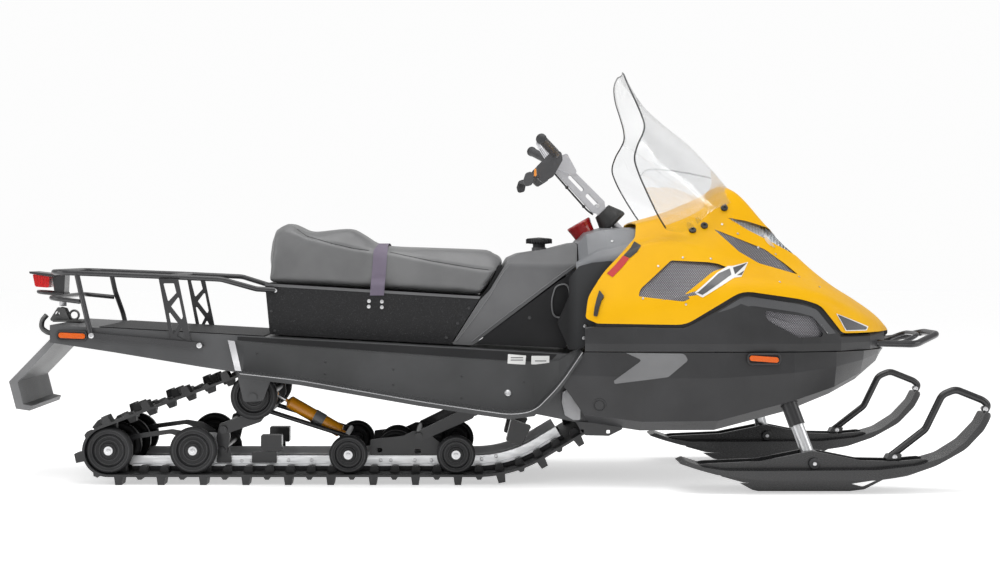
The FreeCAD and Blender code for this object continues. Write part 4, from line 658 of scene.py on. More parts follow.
# %% Give the hood a wall and cut its outline and openings
HOOD_WALL = 0.004
HOOD_OUTLINE = [
    # x, z, bend
    (0.350, 0.553, 0.006), (0.640, 0.549, 0.03), (0.828, 0.662, 0.035), (1.030, 0.633, 0.03),
    (1.092, 0.613, 0.02), (1.172, 0.519, 0.014), (1.420, 0.517), (1.420, 1.200), (0.840, 1.200),
    (0.494, 1.000), (0.498, 0.882, 0.006), (0.490, 0.838, 0.010), (0.463, 0.810, 0.020),
    (0.386, 0.733, 0.030), (0.362, 0.702, 0.020), (0.322, 0.640, 0.020), (0.311, 0.570, 0.010),
]
SIDE_GRILLE = [(0.600, 0.762, 0.006), (0.726, 0.756, 0.010), (0.757, 0.751, 0.006), (0.787, 0.739, 0.004),
               (0.738, 0.726, 0.014), (0.639, 0.651, 0.004), (0.655, 0.636, 0.004), (0.634, 0.626, 0.006),
               (0.486, 0.643, 0.006), (0.492, 0.666, 0.010)]
UPPER_GRILLE = [(0.760, 0.868, 0.006), (0.935, 0.799, 0.008), (1.004, 0.748, 0.008), (1.040, 0.714, 0.004),
                (0.905, 0.752, 0.006), (0.838, 0.792, 0.006)]
LAMP_OPENING = [(0.812, 0.907, 0.004), (0.876, 0.897, 0.010), (0.962, 0.872, 0.010), (1.018, 0.835, 0.010),
                (1.068, 0.770, 0.006), (0.968, 0.822, 0.010), (0.876, 0.868, 0.010)]


def select_where(piece, test, kind="FACE"):
    """Goes into edit mode and selects only what a test on the middle and the normal picks."""
    take(piece)
    bpy.ops.object.mode_set(mode="EDIT")
    bpy.ops.mesh.select_mode(type=kind)
    bpy.ops.mesh.select_all(action="DESELECT")
    mesh = bmesh.from_edit_mesh(piece.data)
    if kind == "FACE":
        for face in mesh.faces:
            face.select_set(bool(test(face.calc_center_median(), face.normal)))
    else:
        for edge in mesh.edges:
            middle = (edge.verts[0].co + edge.verts[1].co) / 2
            edge.select_set(bool(test(middle, edge.verts[1].co - edge.verts[0].co)))
    bmesh.update_edit_mesh(piece.data)


def cap_end(piece, x):
    """Fills the open end of a net at x."""
    select_where(piece, lambda middle, along: abs(middle.x - x) < 1e-5 and abs(along.x) < 1e-6, "EDGE")
    bpy.ops.mesh.edge_face_add()
    face_outwards(piece)


cap_end(hood, HOOD_NOSE)
use(hood, "SOLIDIFY", thickness=HOOD_WALL, offset=-1, use_even_offset=False)
carve_through(hood, HOOD_OUTLINE, "INTERSECT")
for opening in (SIDE_GRILLE, UPPER_GRILLE, LAMP_OPENING):
    carve_through(hood, opening)
close_piece(hood, "hood_shell", "hood_paint", "hood", 32, outside=False)
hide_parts("hood")
print("hood shell", len(hood.data.polygons), "faces")

# %% [markdown]
# ## Lamps, grilles and trim on the hood
# Behind the clear lens of each side two bright bowls throw the light. A bowl is a turned part: a
# ring that is extruded and scaled step by step, like a pot on a wheel. Many caps and sleeves of the
# machine are made the same way later.

# %% Turned parts
def turned(profile, centre, axis, segments):
    """A turned part: rows of (radius, reach along the axis) drawn round the axis, closed at both ends."""
    deselect()
    bpy.ops.mesh.primitive_circle_add(vertices=segments, radius=profile[0][0], fill_type="NGON")
    piece = bpy.context.object
    bpy.ops.transform.translate(value=(0, 0, profile[0][1]))
    bpy.ops.object.transform_apply(location=True)
    bpy.ops.object.mode_set(mode="EDIT")
    for (r0, a0), (r1, a1) in zip(profile, profile[1:]):
        bpy.ops.mesh.extrude_region_move(TRANSFORM_OT_translate={"value": (0, 0, a1 - a0)})
        bpy.ops.transform.resize(value=(r1 / r0, r1 / r0, 1), center_override=(0, 0, a1))
    face_outwards(piece)
    piece.rotation_euler = Vector(axis).to_track_quat("Z", "Y").to_euler()
    piece.location = centre
    bpy.ops.object.transform_apply(location=True, rotation=True)
    return piece


def joined(pieces):
    """Several meshes as one piece."""
    take(pieces[0])
    for piece in pieces[1:]:
        piece.select_set(True)
    bpy.ops.object.join()
    return bpy.context.object


print("turned parts ready")

# %% [markdown]
# Round the bowls goes a faceted silver housing, which is what the eye sees through the lens: the
# same hood net, a little smaller, cut to the lens. It could be drawn anew, but then it would never
# follow the lens so closely.

# %% Silver housing and lamp bowls behind the lenses
new_finish("lamp_silver", (0.72, 0.73, 0.75), (0.82, 0.83, 0.84), (0.16, 0.26), 90, metallic=0.25)
HOUSING_INSET, HOUSING_FOOT_Z, HOUSING_X = 0.024, 0.56, (0.74, 1.12)
housing = hood_block(HOUSING_INSET, HOUSING_FOOT_Z, *HOUSING_X, 40)
use(housing, "SOLIDIFY", thickness=0.003, offset=-1)
HOUSING_OUTLINE = [(0.800, 0.918, 0.004), (0.880, 0.908, 0.010), (0.968, 0.883, 0.010), (1.030, 0.842, 0.010),
                   (1.078, 0.758, 0.006), (0.966, 0.808, 0.010), (0.872, 0.856, 0.010)]
carve_through(housing, HOUSING_OUTLINE, "INTERSECT")
close_piece(housing, "lamp_housing", "lamp_silver", "hood", 12, outside=False)

BOWL = [(0.006, 0.0), (0.012, -0.002), (0.024, 0.006), (0.034, 0.022), (0.036, 0.022), (0.026, 0.003),
        (0.010, -0.006)]
BOWL_PLACES = [(0.944, -0.205, 0.812), (0.972, -0.115, 0.832), (0.972, 0.115, 0.832), (0.944, 0.205, 0.812)]
bowls = [turned(BOWL, place, (0.75, 0.3 * place[1], 0.6), 32) for place in BOWL_PLACES]
bowls = close_piece(joined(bowls), "lamp_bowls", "lamp_silver", "hood", 40)
print("lamps", len(housing.data.polygons), len(bowls.data.polygons))

# %% [markdown]
# Bolts and screws are modelled once and copied to their places. A place on a curved cover is found
# by looking across the machine at the cover and noting where the line of sight lands and which way
# the surface faces there.

# %% Places on a surface
SIGHT_FROM = 1.0


def landing(target, x, z, side=-1):
    """Where a line across the machine first meets a piece, and the surface's direction there."""
    hit, place, normal, _ = target.ray_cast(Vector((x, side * SIGHT_FROM, z)), Vector((0, -side, 0)))
    if not hit:
        print("nothing at", x, z, "on", target.name)
        return Vector((x, side * 0.3, z)), Vector((0, side, 0))
    return place, normal if normal.y * side > 0 else -normal


def on_both_sides(places):
    """Mirrors (place, direction) rows to the other side."""
    return places + [((p[0], -p[1], p[2]), (d[0], -d[1], d[2])) for p, d in places]


def facing_right(points, y):
    """(place, direction) rows on both sides, for points of x and z on an upright wall at y."""
    return on_both_sides([((x, y, z), (0, -1, 0)) for x, z in points])


print("one landing", [round(v, 3) for v in landing(hood, 0.556, 0.742)[0]])

# %% [markdown]
# A screw head is a short cylinder with a bevelled rim. Its top is inset and pushed down, which
# makes the socket. With six corners instead of twenty it becomes a nut.

# %% Screw heads and how they are copied to their places
def screw_head(radius, height, corners=20):
    """One screw head standing on the origin: a bevelled disc with a socket in its top."""
    deselect()
    bpy.ops.mesh.primitive_cylinder_add(vertices=corners, radius=radius, depth=height)
    head = bpy.context.object
    bpy.ops.transform.translate(value=(0, 0, height / 2))
    bpy.ops.object.transform_apply(location=True)
    use(head, "BEVEL", width=height * 0.25, segments=2, limit_method="ANGLE")
    select_where(head, lambda middle, way: way.z > 0.99 and middle.z > height * 0.9)
    bpy.ops.mesh.inset(thickness=radius * 0.45)
    bpy.ops.mesh.extrude_region_move(TRANSFORM_OT_translate={"value": (0, 0, -height * 0.5)})
    bpy.ops.object.mode_set(mode="OBJECT")
    return head


def copy_of(piece):
    """A copy with its own mesh."""
    take(piece)
    bpy.ops.object.duplicate()
    return bpy.context.object


def fasten(name, head, places, finish_name, body):
    """Copies a head to every (place, direction), joins the copies and removes the pattern."""
    copies = []
    for place, direction in places:
        twin = copy_of(head)
        twin.rotation_euler = Vector(direction).to_track_quat("Z", "Y").to_euler()
        twin.location = place
        bpy.ops.object.transform_apply(location=True, rotation=True)
        copies.append(twin)
    bpy.data.objects.remove(head)
    return close_piece(joined(copies), name, finish_name, body, 30, outside=False)


print("fasteners ready")

# %% [markdown]
# Small bright screws hold the grilles from outside, and three larger black ones hold the screen.
# Each is set where a line across the machine meets the hood. Two of the grille screws on each side
# fall into an opening, where the line meets nothing, and hang loose at a plain distance.

# %% Screws and screen fasteners
GRILLE_SCREWS = [
    # x, z
    (0.520, 0.662), (0.556, 0.742), (0.640, 0.771), (0.735, 0.767), (0.641, 0.617), (0.500, 0.636),
    (0.905, 0.806), (0.972, 0.782), (0.842, 0.852), (0.790, 0.884), (1.040, 0.706), (1.106, 0.672),
    (0.958, 0.690),
]
SCREEN_SCREWS = [(0.686, 0.862), (0.728, 0.878), (0.802, 0.940)]
spots = on_both_sides([landing(hood, x, z) for x, z in GRILLE_SCREWS])
screws = fasten("grille_screws", screw_head(0.0038, 0.0022), spots, "axle_steel", "hood")
spots = on_both_sides([landing(hood, x, z) for x, z in SCREEN_SCREWS])
knobs = fasten("screen_fasteners", screw_head(0.0125, 0.008), spots, "cap_plastic", "hood")
print("fasteners on the hood", len(screws.data.polygons) + len(knobs.data.polygons), "faces")

# %% [markdown]
# Films, badges and flat trim follow the cover under them. A film starts as a flat outline beside the
# machine. It is cut into small faces, pressed on the cover from the side, and given its thickness.
# The other side gets a mirrored copy. The cover is a plain copy of the hood's form without
# openings, so that no film falls into a hole.

# %% Films pressed on a curved cover
BESIDE = -0.9


def other_side(piece):
    """A copy mirrored to the other side of the machine, with its own mesh."""
    twin = copy_of(piece)
    for vertex in twin.data.vertices:
        vertex.co.y = -vertex.co.y
    twin.data.flip_normals()
    return twin


def film(name, outline, target, finish_name, body, lift, thick=0.0012, cuts=6):
    """A thin film or badge laid over a curved cover on each side, cut to an outline seen from the side."""
    piece = flat_face(outline, BESIDE)
    bpy.ops.object.mode_set(mode="EDIT")
    bpy.ops.mesh.select_all(action="SELECT")
    bpy.ops.mesh.quads_convert_to_tris(quad_method="BEAUTY", ngon_method="BEAUTY")
    bpy.ops.mesh.subdivide(number_cuts=cuts)
    bpy.ops.mesh.normals_make_consistent(inside=False)
    bpy.ops.object.mode_set(mode="OBJECT")
    use(piece, "SHRINKWRAP", target=target, wrap_method="PROJECT", use_project_y=True, use_project_x=False,
        use_project_z=False, use_positive_direction=True, use_negative_direction=False, offset=lift)
    use(piece, "SOLIDIFY", thickness=thick, offset=0)
    return close_piece(joined([piece, other_side(piece)]), name, finish_name, body, 50)


hood_form = hood_block()
print("films are pressed on", len(hood_form.data.polygons), "faces")

# %% [markdown]
# A rubber strap with a hook keeps the hood shut at its rear edge, low on each side.

# %% Straps of the hood
HOOD_STRAP = [(0.360, 0.662, 0.004), (0.374, 0.642, 0.004), (0.364, 0.628, 0.003), (0.356, 0.604, 0.004),
              (0.349, 0.576, 0.003), (0.337, 0.578, 0.003), (0.342, 0.606, 0.004), (0.350, 0.634, 0.004)]
hook = film("hood_straps", HOOD_STRAP, hood_form, "cap_plastic", "hood", 0.003, 0.008, 2)
print("hood straps", len(hook.data.polygons), "faces")

# %% [markdown]
# A slanted graphite film runs from the side grille towards the nose, in three steps that get
# shorter, with a light border round them. A red and a black band follow the rear edge of the hood,
# and a small dark badge plate lies near the nose. They are plain shapes without words, cut as thin
# films and wrapped over the hood's form from the side.

# %% Films and badge plates
BORDER = [(0.669, 0.6545, 0.003), (0.752, 0.7226, 0.004), (0.790, 0.743, 0.004), (0.807, 0.743, 0.004),
          (0.866, 0.756, 0.002), (0.830, 0.708, 0.002), (0.804, 0.705, 0.004), (0.696, 0.6395, 0.003)]
LONG = [(0.679, 0.655, 0.002), (0.755, 0.719, 0.004), (0.7955, 0.735, 0.002), (0.797, 0.7145, 0.002),
        (0.787, 0.709, 0.002), (0.696, 0.648, 0.002)]
SHORT = [(0.807, 0.738, 0.001), (0.862, 0.7535, 0.001), (0.810, 0.716, 0.001)]
TINY = [(0.816, 0.713, 0.001), (0.8445, 0.728, 0.001), (0.8315, 0.7130, 0.001)]
RED_BAND = [(0.386, 0.718, 0.002), (0.416, 0.748, 0.004), (0.442, 0.778, 0.001), (0.462, 0.769, 0.001),
            (0.438, 0.740, 0.004), (0.404, 0.706, 0.002)]
BLACK_BAND = [(0.4435, 0.779, 0.001), (0.470, 0.805, 0.004), (0.486, 0.826, 0.002), (0.503, 0.812, 0.002),
              (0.488, 0.790, 0.004), (0.4635, 0.770, 0.001)]
NOSE_EDGE = [(1.147, 0.5855, 0.002), (1.277, 0.538, 0.002), (1.269, 0.525, 0.002), (1.184, 0.526, 0.004)]
NOSE = [(1.152, 0.582, 0.002), (1.271, 0.536, 0.002), (1.266, 0.528, 0.002), (1.186, 0.529, 0.004)]
FILMS = (
    # name, outline, finish, height over the hood
    ("film_border", BORDER, "label_white", 0.0014), ("film_long", LONG, "graphite_film", 0.0026),
    ("film_short", SHORT, "graphite_film", 0.0026), ("film_tiny", TINY, "graphite_film", 0.0026),
    ("film_red_band", RED_BAND, "stripe_red", 0.0014), ("film_black_band", BLACK_BAND, "cap_plastic", 0.0014),
    ("nose_badge_edge", NOSE_EDGE, "label_white", 0.0018), ("nose_badge", NOSE, "graphite_film", 0.0032),
)
for name, outline, finish_name, lift in FILMS:
    strip = film(name, outline, hood_form, finish_name, "hood", lift)
bpy.data.objects.remove(hood_form)
print("films laid", len(FILMS))

# %% [markdown]
# ## The screen
# The tall screen is one bent sheet of clear plastic. Seen from above, each height is an arc from one
# side edge over the centre to the other, so a table of heights is enough: half width, centre and
# edge. The sheet gets its thickness at the end, and everything below the hood's skin is cut away
# with a solid copy of the hood, so it sits on the cover without a gap.

# %% Bend the screen
SCREEN_LINES = [
    # z, half width, centre x, edge x
    (0.800, 0.236, 0.930, 0.640), (0.850, 0.286, 0.914, 0.606), (0.905, 0.338, 0.900, 0.566),
    (0.950, 0.372, 0.890, 0.539), (1.000, 0.402, 0.850, 0.512), (1.050, 0.422, 0.809, 0.488),
    (1.100, 0.430, 0.764, 0.473), (1.150, 0.420, 0.717, 0.486), (1.180, 0.400, 0.682, 0.502),
    (1.210, 0.370, 0.643, 0.513), (1.245, 0.338, 0.598, 0.508), (1.290, 0.312, 0.547, 0.493),
    (1.340, 0.282, 0.509, 0.474), (1.380, 0.232, 0.486, 0.463), (1.403, 0.180, 0.476, 0.461),
    (1.417, 0.096, 0.471, 0.464),
]
SCREEN_Z, SCREEN_ROWS, ARC_POINTS, SCREEN_THICK = (0.800, 1.417), 53, 41, 0.003
SCREEN_FOOT = [
    # x, z, bend: the sheet stands on the hood only in the middle, and beside the dash its foot runs free
    (0.400, 1.450), (0.400, 0.880), (0.592, 0.864, 0.004), (0.647, 0.855, 0.010), (0.686, 0.872, 0.020),
    (0.752, 0.934, 0.020), (0.880, 0.977, 0.020), (1.050, 1.000), (1.050, 1.450),
]


def screen_arc(z):
    """Points along the arc of the screen at one height."""
    half, centre, edge = blend_rows(SCREEN_LINES, z)
    bow = max(centre - edge, 0.002)
    radius = (half**2 + bow**2) / (2 * bow)
    reach = math.asin(min(1.0, half / radius))
    if bow > half:
        reach = math.pi - reach
    middle = centre - radius
    turns = [-reach + 2 * reach * k / (ARC_POINTS - 1) for k in range(ARC_POINTS)]
    return [(middle + radius * math.cos(a), radius * math.sin(a), z) for a in turns]


low, high = SCREEN_Z
arcs = [screen_arc(low + (high - low) * k / (SCREEN_ROWS - 1)) for k in range(SCREEN_ROWS)]
screen = net(arcs)
use(screen, "SOLIDIFY", thickness=SCREEN_THICK, offset=0)
print("screen sheet", len(screen.data.polygons), "faces")

# %% [markdown]
# The solid copy of the hood is a net with both ends filled and its two feet bridged by a floor. It
# is a millimetre larger than the hood, so the screen just clears the cover. What the cut leaves of
# the sheet below the hood is thrown away: everything that isn't linked to the top.

# %% Trim the screen's foot
block = hood_block(-0.001, HOOD_FOOT_Z, count=60)
cap_end(block, HOOD_REAR)
cap_end(block, HOOD_NOSE)
select_where(block, lambda middle, _: middle.z < HOOD_FOOT_Z + 0.0001 and abs(middle.y) > 0.08, "EDGE")
bpy.ops.mesh.bridge_edge_loops()
face_outwards(block)
carve(screen, block)
carve_through(screen, SCREEN_FOOT, "INTERSECT")
select_where(screen, lambda middle, _: middle.z > 1.3)
bpy.ops.mesh.select_linked(delimit=set())
bpy.ops.mesh.select_all(action="INVERT")
bpy.ops.mesh.delete(type="FACE")
bpy.ops.object.mode_set(mode="OBJECT")
close_piece(screen, "windscreen", "screen_clear", "hood", 40, outside=False)
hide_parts("windshield")
print("screen", len(screen.data.polygons), "faces")

# %% [markdown]
# The rim of a clear sheet always looks dark, because the light that enters its face leaves through
# the edge. A thin dark bead round the free edge paints that dark line as painted shade. It is a pipe:
# a curve with a round bevel, turned into a mesh.

# %% Pipes, and the bead of painted shade round the screen's edge
BEAD_FROM_Z = 0.868


def pipe(points, radius, bend, closed=False, sides=3):
    """A round tube along a line whose corners are rounded."""
    line = softened(points, [bend] * len(points), 6)
    curve = bpy.data.curves.new("pipe", "CURVE")
    curve.dimensions = "3D"
    spline = curve.splines.new("POLY")
    spline.points.add(len(line) - 1)
    for point, place in zip(spline.points, line):
        point.co = (*place, 1)
    spline.use_cyclic_u = closed
    curve.bevel_depth = radius
    curve.bevel_resolution = sides
    curve.use_fill_caps = True
    piece = bpy.data.objects.new("pipe", curve)
    bpy.context.collection.objects.link(piece)
    take(piece)
    bpy.ops.object.convert(target="MESH")
    return bpy.context.object


right_edge = [arc[0] for arc in arcs if arc[0][2] > BEAD_FROM_Z]
left_edge = [arc[-1] for arc in arcs if arc[-1][2] > BEAD_FROM_Z]
rim = pipe(right_edge + arcs[-1][4:-4:4] + left_edge[::-1], 0.0028, 0.006)
# A dark bead of painted shade along the screen's free edge.
close_piece(rim, "screen_shade_bead", "screen_edge", "hood", 60)
print("screen top at", round(max(v.co.z for v in screen.data.vertices), 3))

# %% [markdown]
# ## The lower body
# Between the yellow hood and the grey belly lies a rubber seal, which shows as a thin dark line. A
# raised band runs under it along the middle panel, then drops towards the nose, and its lighter grey is
# a painted highlight on the raised band. Both are laid on a copy of the hood's form, like the films,
# but they belong to the body and stay when the hood opens.

# %% Seal and raised band
SEAL_INSET, BAND_INSET = 0.0075, 0.0045
seal_form = hood_block(SEAL_INSET)
SEAL = [(0.345, 0.570, 0.006), (0.345, 0.535, 0.006), (0.650, 0.531, 0.030), (0.838, 0.644, 0.035),
        (1.026, 0.616, 0.030), (1.082, 0.598, 0.020), (1.156, 0.512, 0.010), (1.186, 0.519, 0.010),
        (1.096, 0.624, 0.020), (1.032, 0.646, 0.030), (0.824, 0.676, 0.035), (0.632, 0.562, 0.030)]
seal = film("hood_seal", SEAL, seal_form, "strip_black", "chassis", 0.0, 0.003)
BAND = [(0.655, 0.5330, 0.010), (0.834, 0.6450, 0.030), (1.022, 0.6170, 0.030), (1.076, 0.6000, 0.010),
        (1.146, 0.5190, 0.003), (1.118, 0.5160, 0.003), (1.064, 0.5760, 0.010), (1.014, 0.5900, 0.020),
        (0.842, 0.6150, 0.030), (0.690, 0.5170, 0.010)]
band_form = hood_block(BAND_INSET)
# The band's lighter grey is a painted highlight on the raised band.
band = film("panel_band_highlight", BAND, band_form, "band_plastic", "chassis", 0.0, 0.007)
print("seal and band", len(seal.data.polygons), len(band.data.polygons), "faces")

# %% [markdown]
# Under the band sits a vent with a light mesh. The bright edge towards the nose is a thin white pipe,
# a painted highlight on the vent's bevel. The mesh lies deeper than the cover, so its form is the
# hood's net drawn in by the depth that is measured there.

# %% Painted highlight on the vent edge, and vent mesh
VENT_EDGE, VENT_X, VENT_Z = [(1.080, 0.5680), (1.096, 0.5480), (1.118, 0.5190)], 0.985, 0.535
panel, edge = frame["nodes"]["middle_panel"], []
for side in (-1, 1):
    line = [landing(panel, x, z, side)[0] for x, z in VENT_EDGE]
    edge.append(pipe([(p.x, p.y + side * 0.0012, p.z) for p in line], 0.0013, 0.004, sides=1))
# A white pipe as a painted highlight along the vent's bevelled edge.
edge = close_piece(joined(edge), "vent_edge_highlight", "label_white", "chassis", 60)
VENT = [(0.889, 0.5860, 0.002), (0.982, 0.5560, 0.008), (1.055, 0.5430, 0.004), (1.072, 0.5190, 0.002),
        (1.002, 0.5180, 0.006), (0.9025, 0.5680, 0.004)]
deep = abs(landing(frame["nodes"]["vent_meshes"], VENT_X, VENT_Z)[0].y)
over = abs(landing(seal_form, VENT_X, VENT_Z)[0].y)
vent_form = hood_block(SEAL_INSET + over - deep)
vent = film("vent_light_mesh", VENT, vent_form, "wire_mesh", "chassis", 0.0016, cuts=4)
for form in (seal_form, band_form, vent_form):
    bpy.data.objects.remove(form)
print("vent mesh lies", round(over - deep, 4), "m behind the seal")

# %% [markdown]
# The belly carries a lighter inlay like a broken arrow and a round cap over the drive shaft's end.
# The inlay is laid on the belly's real surface from the side, and the cap is a turned part.

# %% Inlay and round caps
belly = frame["nodes"]["belly_pan"]
INLAY = [(0.443, 0.4560, 0.003), (0.636, 0.4540, 0.010), (0.649, 0.4320, 0.008), (0.583, 0.3760, 0.006),
         (0.407, 0.3530, 0.003), (0.404, 0.3630, 0.003), (0.497, 0.4320, 0.012)]
inlay = film("belly_inlay", INLAY, belly, "grey_inlay", "chassis", 0.0012)
BELLY_CAP = [(0.0235, -0.004), (0.0235, 0.0012), (0.0220, 0.0022), (0.0195, 0.0022), (0.0185, 0.0008),
             (0.0165, 0.0008), (0.0150, 0.0026), (0.0040, 0.0034)]
caps = [turned(BELLY_CAP, *landing(belly, 0.358, 0.281, side), 40) for side in (-1, 1)]
caps = close_piece(joined(caps), "belly_caps", "belly_plastic", "chassis", 30)
print("inlay and caps", len(inlay.data.polygons), len(caps.data.polygons), "faces")

# %% [markdown]
# Each orange reflector sits in a black bezel, a closed pipe with round corners. Its place, height
# and slant are read from the CAD's own reflectors, so the two can't drift apart.

# %% Reflector bezels
BEZEL_GAP, BEZEL_RADIUS, BEZEL_BEND = 0.005, 0.0035, 0.014
REFLECTOR_STRETCHES = ((-1.7, -1.0), (0.5, 1.3))  # x of the rear and of the front reflector


def bezel(x0, x1, z0, z1, y, slant):
    """A rounded frame on a side surface, tipped along the machine by the slant."""
    rows = [(x0, z0), (x1, z0), (x1, z1), (x0, z1)]
    line = softened([rows[3], *rows, rows[0]], [0] + [BEZEL_BEND] * 4 + [0], 5)[1:-1]
    middle_x = 0.5 * (x0 + x1)
    return pipe([(p.x, y + slant * (p.x - middle_x), p.y) for p in line], BEZEL_RADIUS, 0.002,
                closed=True, sides=2)


def frame_reflectors():
    """One bezel round each reflector, at the place of the CAD's own reflectors."""
    places = [v.co for v in frame["nodes"]["reflectors"].data.vertices if v.co.y < 0]
    made = []
    for x_from, x_to in REFLECTOR_STRETCHES:
        near = [place for place in places if x_from < place.x < x_to]
        x0, x1 = min(v.x for v in near), max(v.x for v in near)
        z0, z1 = min(v.z for v in near), max(v.z for v in near)
        y_front = min(v.y for v in near if v.x > x1 - 0.012)
        y_back = min(v.y for v in near if v.x < x0 + 0.012)
        y = 0.5 * (y_front + y_back) + 0.003
        slant = (y_front - y_back) / (x1 - x0)
        made.append(bezel(x0 - BEZEL_GAP, x1 + BEZEL_GAP, z0 - BEZEL_GAP, z1 + BEZEL_GAP, y, slant))
        made.append(other_side(made[-1]))
        print("reflector at", round(x0, 3), round(x1, 3), round(z0, 3), round(z1, 3))
    return made


bezels = close_piece(joined(frame_reflectors()), "reflector_bezels", "cap_plastic", "chassis", 60)

# %% [markdown]
# ## Dash, tank and knee panels
# Between the dash and the hood's rear edge the cover tucks inwards. That shoulder is a short net of
# its own: it starts under the dash and ends behind the column panel. It also carries the first
# screws of the dash.

# %% Tuck the dash shoulder in behind the column panel
SHOULDER = [
    # x, inner y, inner z, outer z, foot z
    (0.288, 0.313, 0.748, 0.728, 0.690), (0.330, 0.314, 0.772, 0.748, 0.700),
    (0.362, 0.309, 0.790, 0.762, 0.700), (0.392, 0.304, 0.797, 0.768, 0.700),
    (0.430, 0.298, 0.806, 0.776, 0.700), (0.470, 0.290, 0.815, 0.784, 0.700),
    (0.500, 0.286, 0.820, 0.790, 0.700),
]
SHOULDER_X, SHOULDER_LENGTH, SHOULDER_STEPS = 0.288, 0.212, 24
OUTER_Y, FOOT_Y = 0.3270, 0.3285  # behind the column panel
columns = []
for k in range(SHOULDER_STEPS + 1):
    x = SHOULDER_X + SHOULDER_LENGTH * k / SHOULDER_STEPS
    inner_y, inner_z, outer_z, foot_z = blend_rows(SHOULDER, x)
    corners = [(inner_y - 0.012, inner_z + 0.007), (inner_y, inner_z), (OUTER_Y, outer_z), (FOOT_Y, foot_z)]
    columns.append([(x, -y, z) for y, z in softened(corners, [0, 0.004, 0.020, 0], 5)])
shoulder = net(columns)
use(shoulder, "SOLIDIFY", thickness=0.002, offset=0)
shoulder = joined([shoulder, other_side(shoulder)])
close_piece(shoulder, "dash_shoulders", "dash_plastic", "chassis", 40)
spots = on_both_sides([landing(frame["nodes"]["dash"], 0.414, 0.826)])
dash_screws = fasten("dash_screws", screw_head(0.0048, 0.003), spots, "axle_steel", "chassis")
print("dash shoulders", len(shoulder.data.polygons), "faces")

# %% [markdown]
# The knee panels have an oval pocket with a rolled rim, which is a closed pipe. The tank meets the
# panels along a bevelled edge, another pipe, laid half into the tank's real surface, and its lighter
# grey is a painted highlight on that bevel.

# %% Pocket rims, and painted highlights on the tank edges
KNEE_Y = 0.2524
POCKET = [(0.214, 0.566), (0.262, 0.566), (0.272, 0.640), (0.262, 0.682), (0.222, 0.676), (0.206, 0.620)]
ring_line = softened([POCKET[-1], *POCKET, POCKET[0]], [0] + [0.022] * 6 + [0], 6)[1:-1]
rims = [pipe([(p.x, side * KNEE_Y, p.y) for p in ring_line], 0.0030, 0.002, closed=True, sides=2)
        for side in (-1, 1)]
rims = close_piece(joined(rims), "pocket_rims", "cover_plastic", "chassis", 60)
TANK_EDGE = [(-0.066, 0.4820), (0.060, 0.5790), (0.180, 0.6690), (0.250, 0.7210), (0.285, 0.7440)]
TANK_REAR = [(-0.118, 0.4830), (-0.050, 0.5720), (0.004, 0.6500), (0.040, 0.7160), (0.066, 0.7480)]
tank, edges = frame["nodes"]["fuel_tank"], []
for row in (TANK_EDGE, TANK_REAR):
    for side in (-1, 1):
        line = [landing(tank, x, z, side)[0] for x, z in row]
        edges.append(pipe([(p.x, p.y + side * 0.0004, p.z) for p in line], 0.0022, 0.02, sides=2))
# The lighter grey of these pipes is a painted highlight on the tank's bevelled edge.
edges = close_piece(joined(edges), "tank_edge_highlights", "grey_inlay", "chassis", 60)
print("rims and edges", len(rims.data.polygons), len(edges.data.polygons), "faces")

# %% [markdown]
# The filler cap has a ribbed grip: one small rib, copied round the cap. The gauge sits in its red
# housing and shows a silver face to the rider, and a dark bolt holds each knee panel.

# %% Cap ribs, gauge face and knee bolts
CAP_AT, RIBS = Vector((0.176, 0.0, 0.806)), 30
RIB = [(-0.0018, 0.0140), (0.0018, 0.0140), (0.0018, 0.0300, 0.001), (-0.0018, 0.0300, 0.001)]
GAUGE_FACE = [(0.0370, -0.004), (0.0370, 0.0010), (0.0350, 0.0024), (0.0040, 0.0030)]
rib = plate(RIB, -0.0465, -0.0425)
ribs = []
for k in range(RIBS):
    twin = copy_of(rib)
    twin.rotation_euler = (0, 0, 2 * math.pi * k / RIBS)
    twin.location = CAP_AT
    ribs.append(twin)
bpy.data.objects.remove(rib)
ribs = close_piece(joined(ribs), "cap_ribs", "cap_plastic", "chassis", 30)
GAUGE_WAY = (-0.5, 0.0, 0.86)
gauge_at = Vector((0.330, 0.0, 0.866)) + Vector(GAUGE_WAY) * 0.028
face = turned(GAUGE_FACE, gauge_at, GAUGE_WAY, 40)
close_piece(face, "gauge_face", "lamp_silver", "chassis", 30)
knee_bolts = fasten("knee_bolts", screw_head(0.0055, 0.0035), facing_right([(0.132, 0.566)], -0.2522),
                    "rack_paint", "chassis")
print("cap ribs", RIBS, "gauge at", [round(v, 3) for v in gauge_at])

# %% [markdown]
# ## The seat
# The cushion is one long foam block in grained vinyl. Its rear hump rises over a luggage box, a
# sewn crease runs along each side, and above the crease the cover leans in towards the crowned top.
# Two curves seen from the side, the top line and the crease, therefore describe all of it. The
# sections lean forward more and more, because the front of the cushion follows the tank.

